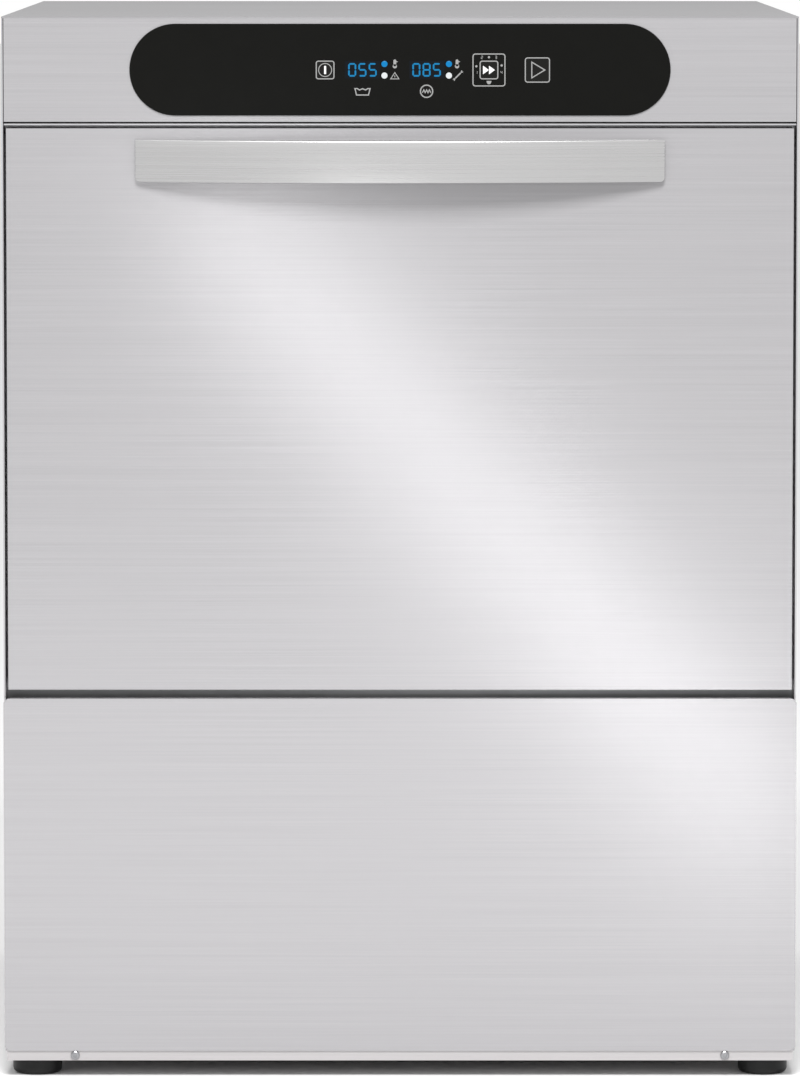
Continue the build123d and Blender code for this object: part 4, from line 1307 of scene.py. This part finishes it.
@dataclass
class Machinery:
    """Pump, boiler, pipes, valves and electrical parts behind the panels."""

    machine: Machine

    def build(self) -> None:
        """Dresses every node of the machinery."""
        machine, finish = self.machine, self.machine.finish
        for node in ("wash_pump_housing", "drain_pump", "dosing_pumps", "contactors", "cable_gland"):
            machine.dress(node, finish.plastic, 0.6 * MM)
        for node in ("suction_hose", "boiler_fill_hose", "drain_hose"):
            machine.dress(node, finish.rubber, 0.3 * MM)
        for node in ("wash_delivery_pipe", "rinse_pipe"):
            machine.dress(node, finish.pipe)
        for node in ("rinse_boiler", "boiler_heater", "electrical_plate"):
            machine.dress(node, finish.inner, 0.3 * MM)
        machine.dress("pump_impeller", finish.bright, 0.2 * MM)
        machine.dress("wash_pump_motor", finish.paint, 1.0 * MM)
        machine.dress("inlet_valve", finish.brass, 0.6 * MM)


@dataclass
class Studio:
    """Pale floor, soft lights and the camera."""

    distance: float = 5.0
    eye_height: float = 0.9154
    tilt: float = 4.27
    aim_shift: float = -0.160
    lens: float = 221.7
    floor_width: float = 60.0
    floor_dark: Colour = (0.68, 0.68, 0.68)
    floor_light: Colour = (0.70, 0.70, 0.70)
    strip_power: float = 0.85
    strip_roll: float = -48.0
    key_power: float = 240.0

    def build(self) -> None:
        """Sets up everything round the machine."""
        self._floor()
        self._lights()
        self._camera()

    def _floor(self) -> None:
        """Wide flat pale floor."""
        data = bpy.data.meshes.new("studio_floor")
        maker = bmesh.new()
        half = self.floor_width / 2
        corners = [(-half, -half), (half, -half), (half, half), (-half, half)]
        maker.faces.new([maker.verts.new((x, y, 0.0)) for x, y in corners])
        maker.to_mesh(data)
        maker.free()
        recipe = Recipe("studio_paper")
        cloud = recipe.noise(recipe.place(), 3.0, 2.0)
        tone = recipe.blend(cloud, self.floor_dark, self.floor_light)
        data.materials.append(recipe.finish({"Base Color": tone, "Roughness": 0.9}))
        floor = bpy.data.objects.new("studio_floor", data)
        bpy.context.scene.collection.objects.link(floor)

    def _lights(self) -> None:
        """Even white surroundings, a slanted strip for the door and a soft light high in front."""
        world = bpy.data.worlds.new("studio_air")
        bpy.context.scene.world = world
        world.use_nodes = True
        background = world.node_tree.nodes["Background"]
        background.inputs["Color"].default_value = (1.0, 1.0, 1.0, 1.0)
        background.inputs["Strength"].default_value = 1.0
        strip, door_face = (0.08, -1.3, 0.335), (0.08, -0.3, 0.335)
        self._panel_light("slanted_strip", strip, door_face, (0.80, 0.09), self.strip_power, self.strip_roll)
        key, door_top = (0.0, -2.9, 3.2), (0.0, -0.3, 0.6)
        self._panel_light("key_softbox", key, door_top, (1.2, 1.2), self.key_power, 0.0)

    @staticmethod
    def _panel_light(
        name: str, spot: Point, target: Point, size: Flat, power: float, roll: float
    ) -> None:
        """Adds one rectangular light.

        Args:
            name: its name.
            spot: where it hangs.
            target: the point it faces.
            size: its width and height.
            power: its power in watts.
            roll: its turn about its own axis, in degrees.
        """
        data = bpy.data.lights.new(name, "AREA")
        data.shape = "RECTANGLE"
        data.size, data.size_y = size
        data.energy = power
        light = bpy.data.objects.new(name, data)
        light.location = spot
        aim = (Vector(target) - Vector(spot)).to_track_quat("-Z", "Y").to_matrix().to_4x4()
        turned = aim @ Matrix.Rotation(math.radians(roll), 4, "Z")
        light.rotation_euler = turned.to_euler()
        light.visible_camera = False
        bpy.context.scene.collection.objects.link(light)

    def _camera(self) -> None:
        """Long lens a little above the machine's top, tilted slightly down."""
        data = bpy.data.cameras.new("studio_camera")
        data.sensor_fit = "VERTICAL"
        data.sensor_height = 36.0
        data.lens = self.lens
        data.shift_y = self.aim_shift
        data.clip_end = 100.0
        camera = bpy.data.objects.new("studio_camera", data)
        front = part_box("door_outer_panel")[0][1]
        camera.location = (0.0, front - self.distance, self.eye_height)
        camera.rotation_euler = (math.radians(90.0 - self.tilt), 0.0, 0.0)
        bpy.context.scene.collection.objects.link(camera)
        bpy.context.scene.camera = camera
        bpy.context.scene.view_settings.view_transform = "Standard"


def main() -> None:
    """Builds the looks of the whole machine."""
    machine = Machine()
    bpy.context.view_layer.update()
    for part in (Cabinet, ControlPanel, Door, Chamber, Machinery):
        part(machine).build()
        log.info("finished %s", part.__name__)
    Studio().build()


if __name__ == "__main__":
    main()
